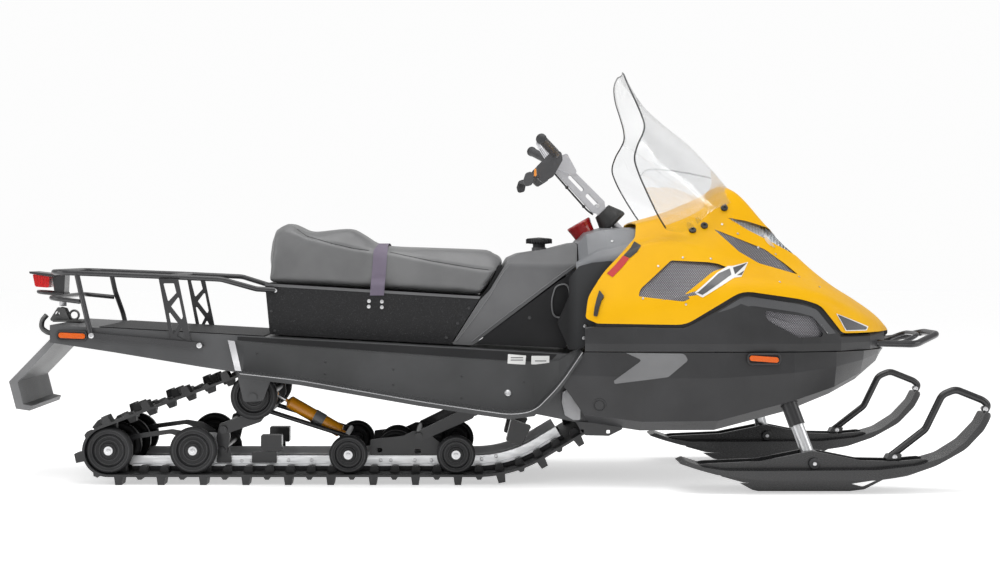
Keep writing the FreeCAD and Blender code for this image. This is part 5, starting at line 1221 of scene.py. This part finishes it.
# %% Draw the cushion's form as a net of leaning sections
SEAT_TOP = [
    # x, z
    (-0.775, 0.840), (-0.752, 0.872), (-0.731, 0.886), (-0.707, 0.888), (-0.670, 0.876), (-0.634, 0.858),
    (-0.603, 0.857), (-0.567, 0.861), (-0.518, 0.866), (-0.482, 0.866), (-0.464, 0.858), (-0.433, 0.839),
    (-0.397, 0.816), (-0.348, 0.806), (-0.203, 0.800), (-0.020, 0.793), (0.034, 0.786), (0.060, 0.760),
]
SEAT_CREASE = [
    # x, z
    (-0.775, 0.820), (-0.720, 0.866), (-0.670, 0.858), (-0.634, 0.843), (-0.548, 0.819), (-0.470, 0.801),
    (-0.409, 0.794), (-0.348, 0.788), (-0.203, 0.758), (-0.008, 0.727), (0.060, 0.718),
]
SEAT_ENDS = [
    # foot x, foot z, lean of the first and of the last section
    (-0.768, 0.690, 0.11), (-0.030, 0.647, 0.72),
]
SEAT_HALF, SEAT_SECTIONS = 0.2165, 48
TURN_X, TURN_Z, TURN_LEAN = -0.634, 0.855, 0.78  # the slanted line behind which the side turns in
TURN_DEPTH, TURN_LENGTH, TURN_POWER = 0.030, 0.11, 1.4
SEAT_BENDS = [0, 0.010, 0.02, 0.010, 0.035, 0.1, 0.035, 0.010, 0.02, 0.010, 0]


def seat_width(x, z):
    """Half width of the cushion: behind a slanted line its side turns in towards the rear."""
    turn_x = TURN_X - TURN_LEAN * (TURN_Z - z)
    return SEAT_HALF - TURN_DEPTH * max(0.0, min(1.0, (turn_x - x) / TURN_LENGTH)) ** TURN_POWER


def seat_section(share):
    """One leaning section, from the middle of the base round the right side, the top and the left."""
    foot_x, foot_z, lean = [a + (b - a) * share for a, b in zip(*SEAT_ENDS)]

    def meet(rows):
        """The height at which the leaning section meets a curve, found step by step."""
        z = 0.8
        for _ in range(12):
            z = 0.5 * z + 0.5 * blend_rows(rows, foot_x + (z - foot_z) * lean)[0]
        return z

    top, crease = meet(SEAT_TOP), min(meet(SEAT_CREASE), meet(SEAT_TOP) - 0.010)
    half = [(seat_width(foot_x, foot_z) - 0.006, foot_z), (seat_width(foot_x, foot_z + 0.03), foot_z + 0.022),
            (seat_width(foot_x + (crease - foot_z) * lean, crease), crease), (0.160, top - 0.006)]
    line = [(0.0, foot_z), *[(-y, z) for y, z in half], (0.0, top), *half[::-1], (0.0, foot_z)]
    rounded = softened(line, SEAT_BENDS, 3)
    return [(foot_x + (z - foot_z) * lean, y, z) for y, z in rounded]


cushion = net([seat_section(k / (SEAT_SECTIONS - 1)) for k in range(SEAT_SECTIONS)])
take(cushion)
bpy.ops.object.mode_set(mode="EDIT")
bpy.ops.mesh.select_all(action="SELECT")
bpy.ops.mesh.remove_doubles(threshold=0.0002)
bpy.ops.mesh.fill_holes(sides=0)
face_outwards(cushion)
print("cushion form", len(cushion.data.polygons), "faces")

# %% [markdown]
# The form is drawn a few millimetres too small on purpose. A cloth simulation then blows the cover
# up with a little pressure, as foam does under vinyl, which rounds every edge by the right amount.
# No point may move more than seven millimetres, so the outline stays where it was drawn.

# %% Swell the cover
VOXEL, SWELL_LIMIT, SWELL_PRESSURE, SWELL_FRAMES = 0.0088, 0.007, 4.0, 20


def swell(piece):
    """Inflates a closed mesh with Blender's cloth and keeps each point near where it was."""
    take(piece)
    cloth = piece.modifiers.new("cloth", "CLOTH")
    cloth.settings.use_pressure = True
    cloth.settings.uniform_pressure_force = SWELL_PRESSURE
    cloth.settings.effector_weights.gravity = 0
    cloth.point_cache.frame_start, cloth.point_cache.frame_end = 1, SWELL_FRAMES
    scene = bpy.context.scene
    for step in range(1, SWELL_FRAMES + 1):
        scene.frame_set(step)
    blown = piece.evaluated_get(bpy.context.evaluated_depsgraph_get())
    places = [vertex.co.copy() for vertex in blown.data.vertices]
    piece.modifiers.remove(cloth)
    scene.frame_set(1)
    for vertex, place in zip(piece.data.vertices, places):
        move = place - vertex.co
        vertex.co += move * min(1.0, SWELL_LIMIT / max(move.length, 1e-9))


use(cushion, "REMESH", mode="VOXEL", voxel_size=VOXEL)
use(cushion, "SMOOTH", factor=0.5, iterations=7)
swell(cushion)
use(cushion, "SUBSURF", levels=1, render_levels=1)
cushion_top = max(v.co.z for v in cushion.data.vertices)
print("cushion", len(cushion.data.polygons), "faces, top at", round(cushion_top, 3))

# %% [markdown]
# The sewn creases come after the swelling, because remeshing would have erased them. Every point
# near a seam line is drawn inwards, deepest on the line itself. The lines are drawn from the side,
# and only the flanks of the cushion take part.

# %% Press the seams into the cover
FLANK_FROM, GROOVE_HALF, GROOVE_DEPTH = 0.13, 0.010, 0.0036
SEAMS = [
    [(-0.668, 0.868), (-0.634, 0.845), (-0.548, 0.820), (-0.470, 0.802), (-0.409, 0.794)],
    [(-0.348, 0.790), (-0.203, 0.759), (-0.060, 0.735), (0.004, 0.727)],
    [(0.010, 0.722), (-0.006, 0.695), (-0.030, 0.672)],
]


def distance_to_line(point, line):
    """Distance from a 2D point to a line of 2D points."""
    best = 1.0
    for a, b in zip(line, line[1:]):
        a, b = Vector(a), Vector(b)
        share = max(0.0, min(1.0, (point - a).dot(b - a) / (b - a).length_squared))
        best = min(best, (point - a.lerp(b, share)).length)
    return best


for vertex in cushion.data.vertices:
    if abs(vertex.co.y) < FLANK_FROM:
        continue
    spot = Vector((vertex.co.x, vertex.co.z))
    near = min(distance_to_line(spot, seam) for seam in SEAMS)
    if near < GROOVE_HALF:
        vertex.co -= vertex.normal * GROOVE_DEPTH * (1 - near / GROOVE_HALF)
cushion.data.update()
close_piece(cushion, "seat_cushion", "seat_vinyl", "chassis", 60)
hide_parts("seat")
print("seams pressed", len(SEAMS) * 2)

# %% [markdown]
# A thin thread is laid into each groove. Its points are found on the real surface by looking
# across the cushion, so the thread dips with the groove.

# %% Lay the threads
threads = []
for side in (-1, 1):
    for seam in SEAMS:
        line = []
        for a, b in zip(seam, seam[1:]):
            for k in range(6):
                spot = Vector(a).lerp(Vector(b), k / 6)
                line.append(landing(cushion, spot.x, spot.y, side)[0])
        threads.append(pipe(line, 0.0011, 0.004, sides=1))
threads = close_piece(joined(threads), "seat_threads", "cap_plastic", "chassis", 60)
print("threads", len(threads.data.polygons), "faces")

# %% [markdown]
# ## The strap
# A flat nylon strap crosses the cushion from box to box and holds it down. It is cut straight,
# 48 mm wide, and pulled tight, so it follows the cushion's outline. Its line is found by looking at
# the cushion from all round one section, and a flat band is drawn along it a millimetre outside.

# %% Find the strap's line round the cushion
STRAP_WIDTH, STRAP_THICK = 0.048, 0.0016
STRAP_MIDDLE = Vector((-0.384, 0.0, 0.700))
BOX_CLEAR = 0.2356  # half the width of the box, and the strap's own thickness
STRAP_LOW, STRAP_STEPS, STRAP_GAP = -0.245, 96, 0.0014


def strap_point(turn):
    """Where the strap lies at one direction round the middle of the cushion."""
    way = Vector((0.0, -math.cos(turn), math.sin(turn)))
    hit, place, _, _ = cushion.ray_cast(STRAP_MIDDLE + way * 0.4, -way)
    reach = (place - STRAP_MIDDLE).length + STRAP_GAP if hit else 0.0
    beside = BOX_CLEAR / max(abs(math.cos(turn)), 0.01)  # where this direction leaves the box's side
    return STRAP_MIDDLE + way * (max(reach, beside) if math.sin(turn) < -0.02 else reach)


sweep = math.pi - 2 * STRAP_LOW
middle_line = [strap_point(STRAP_LOW + sweep * k / STRAP_STEPS) for k in range(STRAP_STEPS + 1)]
hull = [middle_line[0]]
for before, here, after in zip(middle_line, middle_line[1:], middle_line[2:]):
    outward = (here - STRAP_MIDDLE).normalized()
    hull.append((before + here * 2 + after) / 4 + outward * 0.0004)
hull.append(middle_line[-1])

# %% [markdown]
# The band is a net again, five rows across its width, with the outer two close together so that
# its edges stay crisp. It leans a few millimetres forward as it rises from the box.

# %% Draw the strap along the line
ACROSS = (0.0, 0.04, 0.5, 0.96, 1.0)
LEAN_FROM_Z, LEAN_RISE, LEAN_REACH = 0.640, 0.16, 0.012
lean_of = [LEAN_REACH * min(1.0, max(0.0, (place.z - LEAN_FROM_Z) / LEAN_RISE)) - 0.006
           for place in hull]
columns = [[(place.x + shift + STRAP_WIDTH * (share - 0.5), place.y, place.z) for share in ACROSS]
           for place, shift in zip(hull, lean_of)]
strap = net(columns)
use(strap, "SOLIDIFY", thickness=STRAP_THICK, offset=0)
close_piece(strap, "hold_down_strap", "strap_weave", "chassis", 50)
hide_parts("seat_strap")
print("strap", len(strap.data.polygons), "faces")

# %% [markdown]
# Four bright bolts under each end of the strap, and small dark ones along the box's front edge,
# hold the box together. A raised lip runs along the top of the box under the cushion.

# %% Bolts and lip of the seat box
BOX_SIDE = 0.2322
BOX_BOLTS = [(-0.417, 0.622), (-0.373, 0.620), (-0.418, 0.603), (-0.373, 0.601), (-0.738, 0.658)]
BOX_SCREWS = [(-0.075, 0.598), (-0.114, 0.546), (-0.152, 0.497), (-0.752, 0.588), (-0.740, 0.520)]
spots = facing_right(BOX_BOLTS, -BOX_SIDE)
bolts = fasten("box_bolts", screw_head(0.0065, 0.004), spots, "axle_steel", "chassis")
spots = facing_right(BOX_SCREWS, -BOX_SIDE)
dark_bolts = fasten("box_screws", screw_head(0.005, 0.003), spots, "rack_paint", "chassis")

LIP = [(-0.7735, 0.6825, 0.002), (-0.7740, 0.6730, 0.002), (-0.0400, 0.6290, 0.002), (-0.0340, 0.6380, 0.002)]
lips = []
for side in (-1, 1):
    lip = plate(LIP, side * BOX_SIDE, side * (BOX_SIDE + 0.002))
    lips.append(use(lip, "BEVEL", width=0.0006, segments=2, limit_method="ANGLE"))
lips = close_piece(joined(lips), "box_lip", "cover_plastic", "chassis", 40)
print("box bolts and screws", 2 * len(BOX_BOLTS + BOX_SCREWS))

# %% [markdown]
# A near-black plate fills the slit between the cushion's front end and the tank: painted shade, for
# the dark gap there. It follows the cushion's slanted end, so it is drawn from the side and pulled
# across as a plate.

# %% Fill the slit behind the tank with painted shade
GAP_SHADE = [(-0.046, 0.622), (-0.026, 0.622), (0.010, 0.660), (0.034, 0.712), (0.040, 0.746), (0.026, 0.744),
        (0.016, 0.714), (-0.010, 0.668)]
GAP_SHADE_HALF = 0.196
# Painted shade: a near-black plate in the dark slit between the cushion and the tank.
gap_shade = close_piece(plate(GAP_SHADE, -GAP_SHADE_HALF, GAP_SHADE_HALF), "seat_gap_shade", "strip_black", "chassis", 50)
print("gap_shade", 2 * GAP_SHADE_HALF, "m wide")

# %% [markdown]
# ## Wheels, rails and shock absorber
# The idler and bogie wheels are dished discs with a rubber tyre. Rings are moulded into their
# faces, and a bright nut closes each axle. A ring is a torus turned to face across the machine. The
# raised rings are a lighter grey than the rubber, a painted highlight on their ridges.

# %% Rings and nuts on the wheels
WHEELS = [
    # x, z, radius
    (-1.299, 0.115, 0.0795), (-1.013, 0.115, 0.0795), (-0.806, 0.299, 0.0795),
    (-0.485, 0.101, 0.0655), (-0.119, 0.101, 0.0655),
]
WHEEL_FACE = {0.0795: 0.287, 0.0655: 0.285}  # where the outer face stands, for each radius
FACE_RINGS = [
    # depth in the face, share of the radius, thickness
    (0.0005, 0.86, 0.0016), (0.0115, 0.60, 0.0022), (0.0085, 0.42, 0.0020),
]
GROOVE_RING, AXLE_END_Y = (0.0030, 0.74, 0.0018), -0.2938


def face_ring(wheel, side, depth, share, thick):
    """A moulded ring in the outer face of a wheel."""
    x, z, radius = wheel
    deselect()
    bpy.ops.mesh.primitive_torus_add(
        major_radius=radius * share, minor_radius=thick, major_segments=40, minor_segments=8,
        location=(x, side * (WHEEL_FACE[radius] - depth), z), rotation=(math.pi / 2, 0, 0))
    ring = bpy.context.object
    ring.data.transform(ring.matrix_world)
    ring.matrix_world.identity()
    return ring


ring_highlights, dark_rings = [], []
for wheel in WHEELS:
    for side in (-1, 1):
        ring_highlights += [face_ring(wheel, side, *ring) for ring in FACE_RINGS]
        dark_rings.append(face_ring(wheel, side, *GROOVE_RING))
# The lighter grey of the raised rings is a painted highlight.
ring_highlights = close_piece(joined(ring_highlights), "wheel_ring_highlights", "wheel_face", "chassis", 60)
dark_rings = close_piece(joined(dark_rings), "wheel_grooves", "arm_black", "chassis", 60)
spots = facing_right([wheel[:2] for wheel in WHEELS], AXLE_END_Y)
nuts = fasten("axle_nuts", screw_head(0.0088, 0.005, corners=6), spots, "axle_steel", "chassis")
print("wheel rings", len(ring_highlights.data.polygons), "faces")

# %% [markdown]
# The slide rails are bolted every hand's width. The bolts are placed on the rail's real side, by
# looking at it from just outside, past the wheels. Where that look misses the rail, no bolt is set.

# %% Rail bolts
rails = frame["nodes"]["slide_rails"]
RAIL_BOLTS = [(-0.862, 0.066), (-0.828, 0.066), (-0.700, 0.068), (-0.620, 0.068), (-0.380, 0.068),
              (-0.345, 0.068), (-0.262, 0.068), (-0.205, 0.068), (-0.030, 0.072), (0.020, 0.082),
              (0.108, 0.118), (0.150, 0.140)]
RAIL_SIGHT_Y, RAIL_SIDE_Y = -0.26, -0.13
found = []
for x, z in RAIL_BOLTS:
    hit, place, _, _ = rails.ray_cast(Vector((x, RAIL_SIGHT_Y, z)), Vector((0, 1, 0)))
    if hit and place.y < RAIL_SIDE_Y:
        found.append((place, (0, -1, 0)))
rail_bolts = fasten("rail_bolts", screw_head(0.0065, 0.004), on_both_sides(found), "axle_steel", "chassis")
print("rail bolts", len(found) * 2)

# %% [markdown]
# The gas shock absorber is lacquered in gold. A grey sleeve sits round its middle and a bright rod
# comes out of its upper end. Both are turned parts on the shock's own slanted axis.

# %% Sleeve and rod of the shock absorber
SHOCK_FOOT, SHOCK_HEAD = Vector((-0.500, -0.096, 0.150)), Vector((-0.762, -0.096, 0.300))
SLEEVE_HALF = 0.020
SLEEVES = [
    # name, share of the way up, finish
    ("shock_sleeve", 0.378, "grey_inlay"), ("shock_rod_sleeve", 0.880, "axle_steel"),
]
shock = frame["nodes"]["shock_absorber"]
for name, share, finish_name in SLEEVES:
    middle = SHOCK_FOOT.lerp(SHOCK_HEAD, share)
    hit, place, _, _ = shock.ray_cast(middle - Vector((0, 0.15, 0)), Vector((0, 1, 0)))
    radius = abs(place.y - middle.y) if hit else 0.010
    inner, outer, reach = radius - 0.003, radius + 0.0006, SLEEVE_HALF - 0.001
    profile = [(inner, -SLEEVE_HALF), (outer, -reach), (outer, reach), (inner, SLEEVE_HALF)]
    sleeve = turned(profile, middle, SHOCK_HEAD - SHOCK_FOOT, 40)
    close_piece(sleeve, name, finish_name, "chassis", 40)
    print(name, "radius", round(radius, 4))

# %% [markdown]
# ## Running boards, tunnel and rack
# The rider stands on the running boards, so their outer edge carries a row of upturned grip teeth.
# One tooth is modelled and copied along the edge. A bright worn bead follows the edge as well, from
# the rear brace to the toe guard at the front.

# %% Grip teeth and edge bead of the boards
BOARD_EDGE = [
    # x, y, z
    (-0.836, -0.4380, 0.386), (-0.640, -0.4420, 0.364), (-0.240, -0.4420, 0.294), (-0.040, -0.4420, 0.264),
    (0.060, -0.4420, 0.250), (0.140, -0.4400, 0.260), (0.228, -0.4380, 0.350), (0.300, -0.4340, 0.456),
]
TOOTH_PITCH, TOOTH_FIRST_X, TOOTH_LAST_X, TOOTH_LIFT = 0.0135, -0.820, 0.120, 0.0045
TOOTH = [(-0.0042, -0.002), (0.0042, -0.002), (0.0030, 0.0062, 0.0012), (-0.0030, 0.0062, 0.0012)]


def edge_height(x):
    """Height of the board's outer edge at x."""
    for (x0, _, z0), (x1, _, z1) in zip(BOARD_EDGE, BOARD_EDGE[1:]):
        if x0 <= x <= x1:
            return z0 + (z1 - z0) * (x - x0) / (x1 - x0)
    return BOARD_EDGE[-1][2]


tooth = plate(TOOTH, -0.4400, -0.4376)
teeth = []
count = int((TOOTH_LAST_X - TOOTH_FIRST_X) / TOOTH_PITCH)
for k in range(count):
    x = TOOTH_FIRST_X + TOOTH_PITCH * k
    twin = copy_of(tooth)
    twin.location = (x, 0, edge_height(x) + TOOTH_LIFT)
    teeth.append(twin)
bpy.data.objects.remove(tooth)
teeth = joined(teeth)
take(teeth)
bpy.ops.object.transform_apply(location=True)
teeth = close_piece(joined([teeth, other_side(teeth)]), "board_teeth", "cap_plastic", "chassis", 30)
bead = pipe([(x, y, z + 0.001) for x, y, z in BOARD_EDGE], 0.0017, 0.05)
bead = close_piece(joined([bead, other_side(bead)]), "board_beads", "worn_edge", "chassis", 60)
print("teeth", count * 2)

# %% [markdown]
# Above the boards a near-black strip runs along the top of the tunnel's flank: painted shade under
# the deck's edge. Two white information labels are stuck on the flank there. They carry no words here:
# a few plain grey bars, where the real ones have their print, keep them from looking like holes.

# %% Painted shade strip on the flank, and blank labels
FLANK_Y, LABEL_Y, BAR_Y = 0.3122, -0.3156, -0.3163
FLANK_SHADE = [(-0.858, 0.4920), (-0.640, 0.4740), (-0.240, 0.4440), (-0.040, 0.4300), (0.060, 0.4230),
         (0.140, 0.4200), (0.206, 0.4260), (0.222, 0.4440), (-0.240, 0.4700), (-0.858, 0.5040)]
# Painted shade: a near-black strip under the deck's edge, at the top of the flank.
shade_strips = [plate(FLANK_SHADE, side * FLANK_Y, side * (FLANK_Y + 0.0016)) for side in (-1, 1)]
shade_strips = close_piece(joined(shade_strips), "flank_shade_strips", "strip_black", "chassis", 30)
LABELS = [
    [(0.0550, 0.4130, 0.002), (0.1150, 0.4090, 0.002), (0.1180, 0.4400, 0.002), (0.0570, 0.4450, 0.002)],
    [(0.1350, 0.4100, 0.002), (0.1960, 0.4100, 0.002), (0.1970, 0.4390, 0.002), (0.1360, 0.4390, 0.002)],
]
labels = [plate(outline, LABEL_Y, LABEL_Y - 0.0008) for outline in LABELS]
labels = close_piece(joined(labels), "blank_labels", "label_white", "chassis", 30)
BARS = [(0.066, 0.108, 0.4310), (0.066, 0.108, 0.4230), (0.148, 0.186, 0.4200)]  # x, x and z of each
bars = [plate([(x0, z0), (x1, z0), (x1, z0 + 0.0035), (x0, z0 + 0.0035)], BAR_Y, BAR_Y - 0.0003)
        for x0, x1, z0 in BARS]
bars = close_piece(joined(bars), "label_bars", "grey_inlay", "chassis", 30)
print("labels", len(LABELS), "with", len(BARS), "bars")

# %% [markdown]
# The deck behind the box is covered with a thin black mat. The tunnel's top slopes down to the
# front, and the mat is a plate that follows it, with a small bevel all round.

# %% Deck mat
DECK_REAR_X, DECK_REAR_Z, DECK_LENGTH, DECK_FRONT_Z = -1.493, 0.543, 1.763, 0.445
MAT_REAR, MAT_FRONT, MAT_HALF, MAT_UNDER, MAT_OVER = -1.330, -0.770, 0.288, 0.0003, 0.003


def deck_height(x):
    """Height of the tunnel's top at x."""
    return DECK_REAR_Z + (x - DECK_REAR_X) / DECK_LENGTH * (DECK_FRONT_Z - DECK_REAR_Z)


corners = ((MAT_REAR, MAT_UNDER), (MAT_FRONT, MAT_UNDER), (MAT_FRONT, MAT_OVER), (MAT_REAR, MAT_OVER))
mat = plate([(x, deck_height(x) + up) for x, up in corners], -MAT_HALF, MAT_HALF)
use(mat, "BEVEL", width=0.0012, segments=2, limit_method="ANGLE")
close_piece(mat, "deck_mat", "strip_black", "chassis", 40)
print("mat", len(mat.data.polygons), "faces")

# %% [markdown]
# Bright bolts hold the rack to the tunnel, the toe guard to the board and the column panel to the
# frame. Small rivets line the flank.

# %% Bolts and rivets along the flank
RACK_BOLTS = [(-1.348, 0.508), (-0.984, 0.475)]
COLUMN_SCREWS = [(0.3156, 0.5407), (0.3120, 0.5000)]
RIVETS = [(-0.790, 0.448), (-0.560, 0.420), (-0.330, 0.395), (-0.560, 0.380), (-0.330, 0.345),
          (-0.100, 0.372), (0.110, 0.352), (-0.100, 0.300)]
DOME = [(0.0120, -0.002), (0.0120, 0.0015), (0.0100, 0.0040), (0.0060, 0.0052), (0.0015, 0.0056)]
spots = facing_right(RACK_BOLTS, -0.3326)
rack_bolts = fasten("rack_bolts", screw_head(0.0095, 0.006), spots, "axle_steel", "chassis")
boards = frame["nodes"]["running_boards"]
spots = on_both_sides([landing(boards, 0.056, 0.3145)])
dome = turned(DOME, (0, 0, 0), (0, 0, 1), 28)
board_domes = fasten("board_bolts", dome, spots, "axle_steel", "chassis")
spots = on_both_sides([landing(boards, x, z) for x, z in RIVETS])
rivets = fasten("flank_rivets", screw_head(0.0038, 0.0022), spots, "rack_paint", "chassis")
spots = facing_right(COLUMN_SCREWS, -0.3362)
column_screws = fasten("column_screws", screw_head(0.0058, 0.0035), spots, "axle_steel", "chassis")
print("bolts and rivets", 2 * len(RACK_BOLTS + COLUMN_SCREWS + RIVETS) + 2)

# %% [markdown]
# ## Handlebar
# The riser is an open frame of bright metal that carries the clamp, and everything on it turns with
# the steering. A slim brake line is clipped to its rear edge. Places beside the leaning riser are
# easier to give along the column and towards the rider than in x and z, so a helper does that.

# %% Brake line with clips, and riser bolts
COLUMN_FOOT, COLUMN_WAY = Vector((0.436, 0.0, 0.897)), Vector((-0.68962, 0.0, 0.72417))
COLUMN_BACK, LINE_Y, RISER_SIDE = Vector((-0.72417, 0.0, -0.68962)), -0.012, -0.0215
BRAKE_LINE = [
    # along the column, towards the rider, across
    (0.066, 0.032, LINE_Y), (0.090, 0.037, LINE_Y), (0.180, 0.034, LINE_Y), (0.250, 0.031, -0.014),
    (0.278, 0.030, -0.016),
]
CLIP = [(0.0046, -0.004), (0.0056, -0.003), (0.0056, 0.003), (0.0046, 0.004)]


def on_riser(reach, back, y):
    """A point beside the riser: along the column, towards the rider and across."""
    return COLUMN_FOOT + COLUMN_WAY * reach + COLUMN_BACK * back + Vector((0, y, 0))


line = pipe([on_riser(*row) for row in BRAKE_LINE], 0.0034, 0.02)
clips = [turned(CLIP, on_riser(reach, back, LINE_Y), COLUMN_WAY, 20)
         for reach, back in ((0.110, 0.0364), (0.200, 0.0334))]
line = close_piece(joined([line, *clips]), "riser_brake_line", "cap_plastic", "steering", 50)
spots = on_both_sides([(on_riser(reach, 0.0, RISER_SIDE), (0, -1, 0)) for reach in (0.078, 0.262)])
riser_bolts = fasten("riser_bolts", screw_head(0.0075, 0.005), spots, "axle_steel", "steering")
print("brake line and bolts", len(line.data.polygons), len(riser_bolts.data.polygons), "faces")

# %% [markdown]
# The throttle side has an orange switch tip, a small bevelled plate. A turned rubber cap closes the
# outer end of each grip and points along it.

# %% Switch tip and grip ends
SWITCH = [(0.147, 1.048, 0.004), (0.157, 1.050, 0.004), (0.155, 1.076, 0.004), (0.149, 1.074, 0.004)]
GRIP_END = [(0.0160, -0.004), (0.0182, -0.002), (0.0182, 0.004), (0.0150, 0.007), (0.0040, 0.0082)]
GRIP_X, GRIP_Y, GRIP_Z = 0.2374 - 0.0707, 0.380, 1.1056 + 0.0625
switch = plate(SWITCH, -0.246, -0.232)
use(switch, "BEVEL", width=0.002, segments=2, limit_method="ANGLE")
close_piece(switch, "switch_tip", "switch_orange", "steering", 40)
ends = []
for side in (-1, 1):
    way = Vector((-0.0519, side * 0.142, 0.0381)).normalized()
    ends.append(turned(GRIP_END, (GRIP_X, side * GRIP_Y, GRIP_Z), way, 32))
ends = close_piece(joined(ends), "grip_ends", "cap_plastic", "steering", 40)
print("grip ends", len(ends.data.polygons), "faces")

# %% [markdown]
# ## Skis
# The pivot pin ends in a black cap with a bright screw, and bright bolts hold the grab loop at its
# foot and at the ski's tip. The pin belongs to the leg, the loop to the ski, so each set of bolts
# rides on its own body.

# %% Ski fasteners
SKI_Y, PIN_X, PIN_Z = 0.450, 1.054, 0.097
PIN_CAP = [(0.0160, -0.001), (0.0182, 0.0), (0.0182, 0.0022), (0.0160, 0.0040), (0.0085, 0.0040),
           (0.0080, 0.0018), (0.0020, 0.0018)]
LOOP_FOOT, LOOP_TIP = (1.3250, 0.0238, 0.1150), (1.6270, 0.0118, 0.2720)


def on_ski(centre, x, y, z):
    """(place, direction) rows on both flanks of a ski, y away from its middle."""
    return [((x, centre + out * y, z), (0, out, 0)) for out in (-1, 1)]


for name, side in (("right", -1), ("left", 1)):
    centre = side * SKI_Y
    caps = [turned(PIN_CAP, place, way, 36) for place, way in on_ski(centre, PIN_X, 0.0630, PIN_Z)]
    caps = close_piece(joined(caps), f"ski_pin_caps_{name}", "cap_plastic", f"ski_leg_{name}", 30)
    spots = on_ski(centre, PIN_X, 0.0646, PIN_Z)
    pin_screws = fasten(f"ski_pin_screws_{name}", screw_head(0.0066, 0.0030), spots,
                        "axle_steel", f"ski_leg_{name}")
    spots = on_ski(centre, *LOOP_FOOT) + on_ski(centre, *LOOP_TIP)
    loop_bolts = fasten(f"ski_loop_bolts_{name}", screw_head(0.0085, 0.0045), spots,
                        "axle_steel", f"ski_{name}")
    print(name, "ski: caps", len(caps.data.polygons), "bolts", len(loop_bolts.data.polygons), "faces")

# %% [markdown]
# ## The rear end
# The tail lamp, the hitch and the folded snow flap keep their CAD shapes. Only the lamp's post gets a
# sleeve of bright tube, which is a turned part with a small bevel at both ends.

# %% Sleeve of the lamp post
POST_FOOT = (-1.516, 0.0, 0.598)
POST = [(0.0120, 0.0), (0.0128, 0.001), (0.0128, 0.033), (0.0120, 0.034)]
post = turned(POST, POST_FOOT, (0, 0, 1), 32)
close_piece(post, "lamp_post_tube", "brace_steel", "chassis", 40)
print("post", len(post.data.polygons), "faces")

# %% [markdown]
# ## Last measure
# The dressed machine has to stay the size of the CAD model, so how far its box has grown past the
# CAD model's box is printed, corner by corner.

# %% Print how much the box grew
new_low, new_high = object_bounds()
grown = [round((b - a) * 1000, 1) for a, b in zip((*cad_low, *cad_high), (*new_low, *new_high))]
print("grown by", grown, "mm")
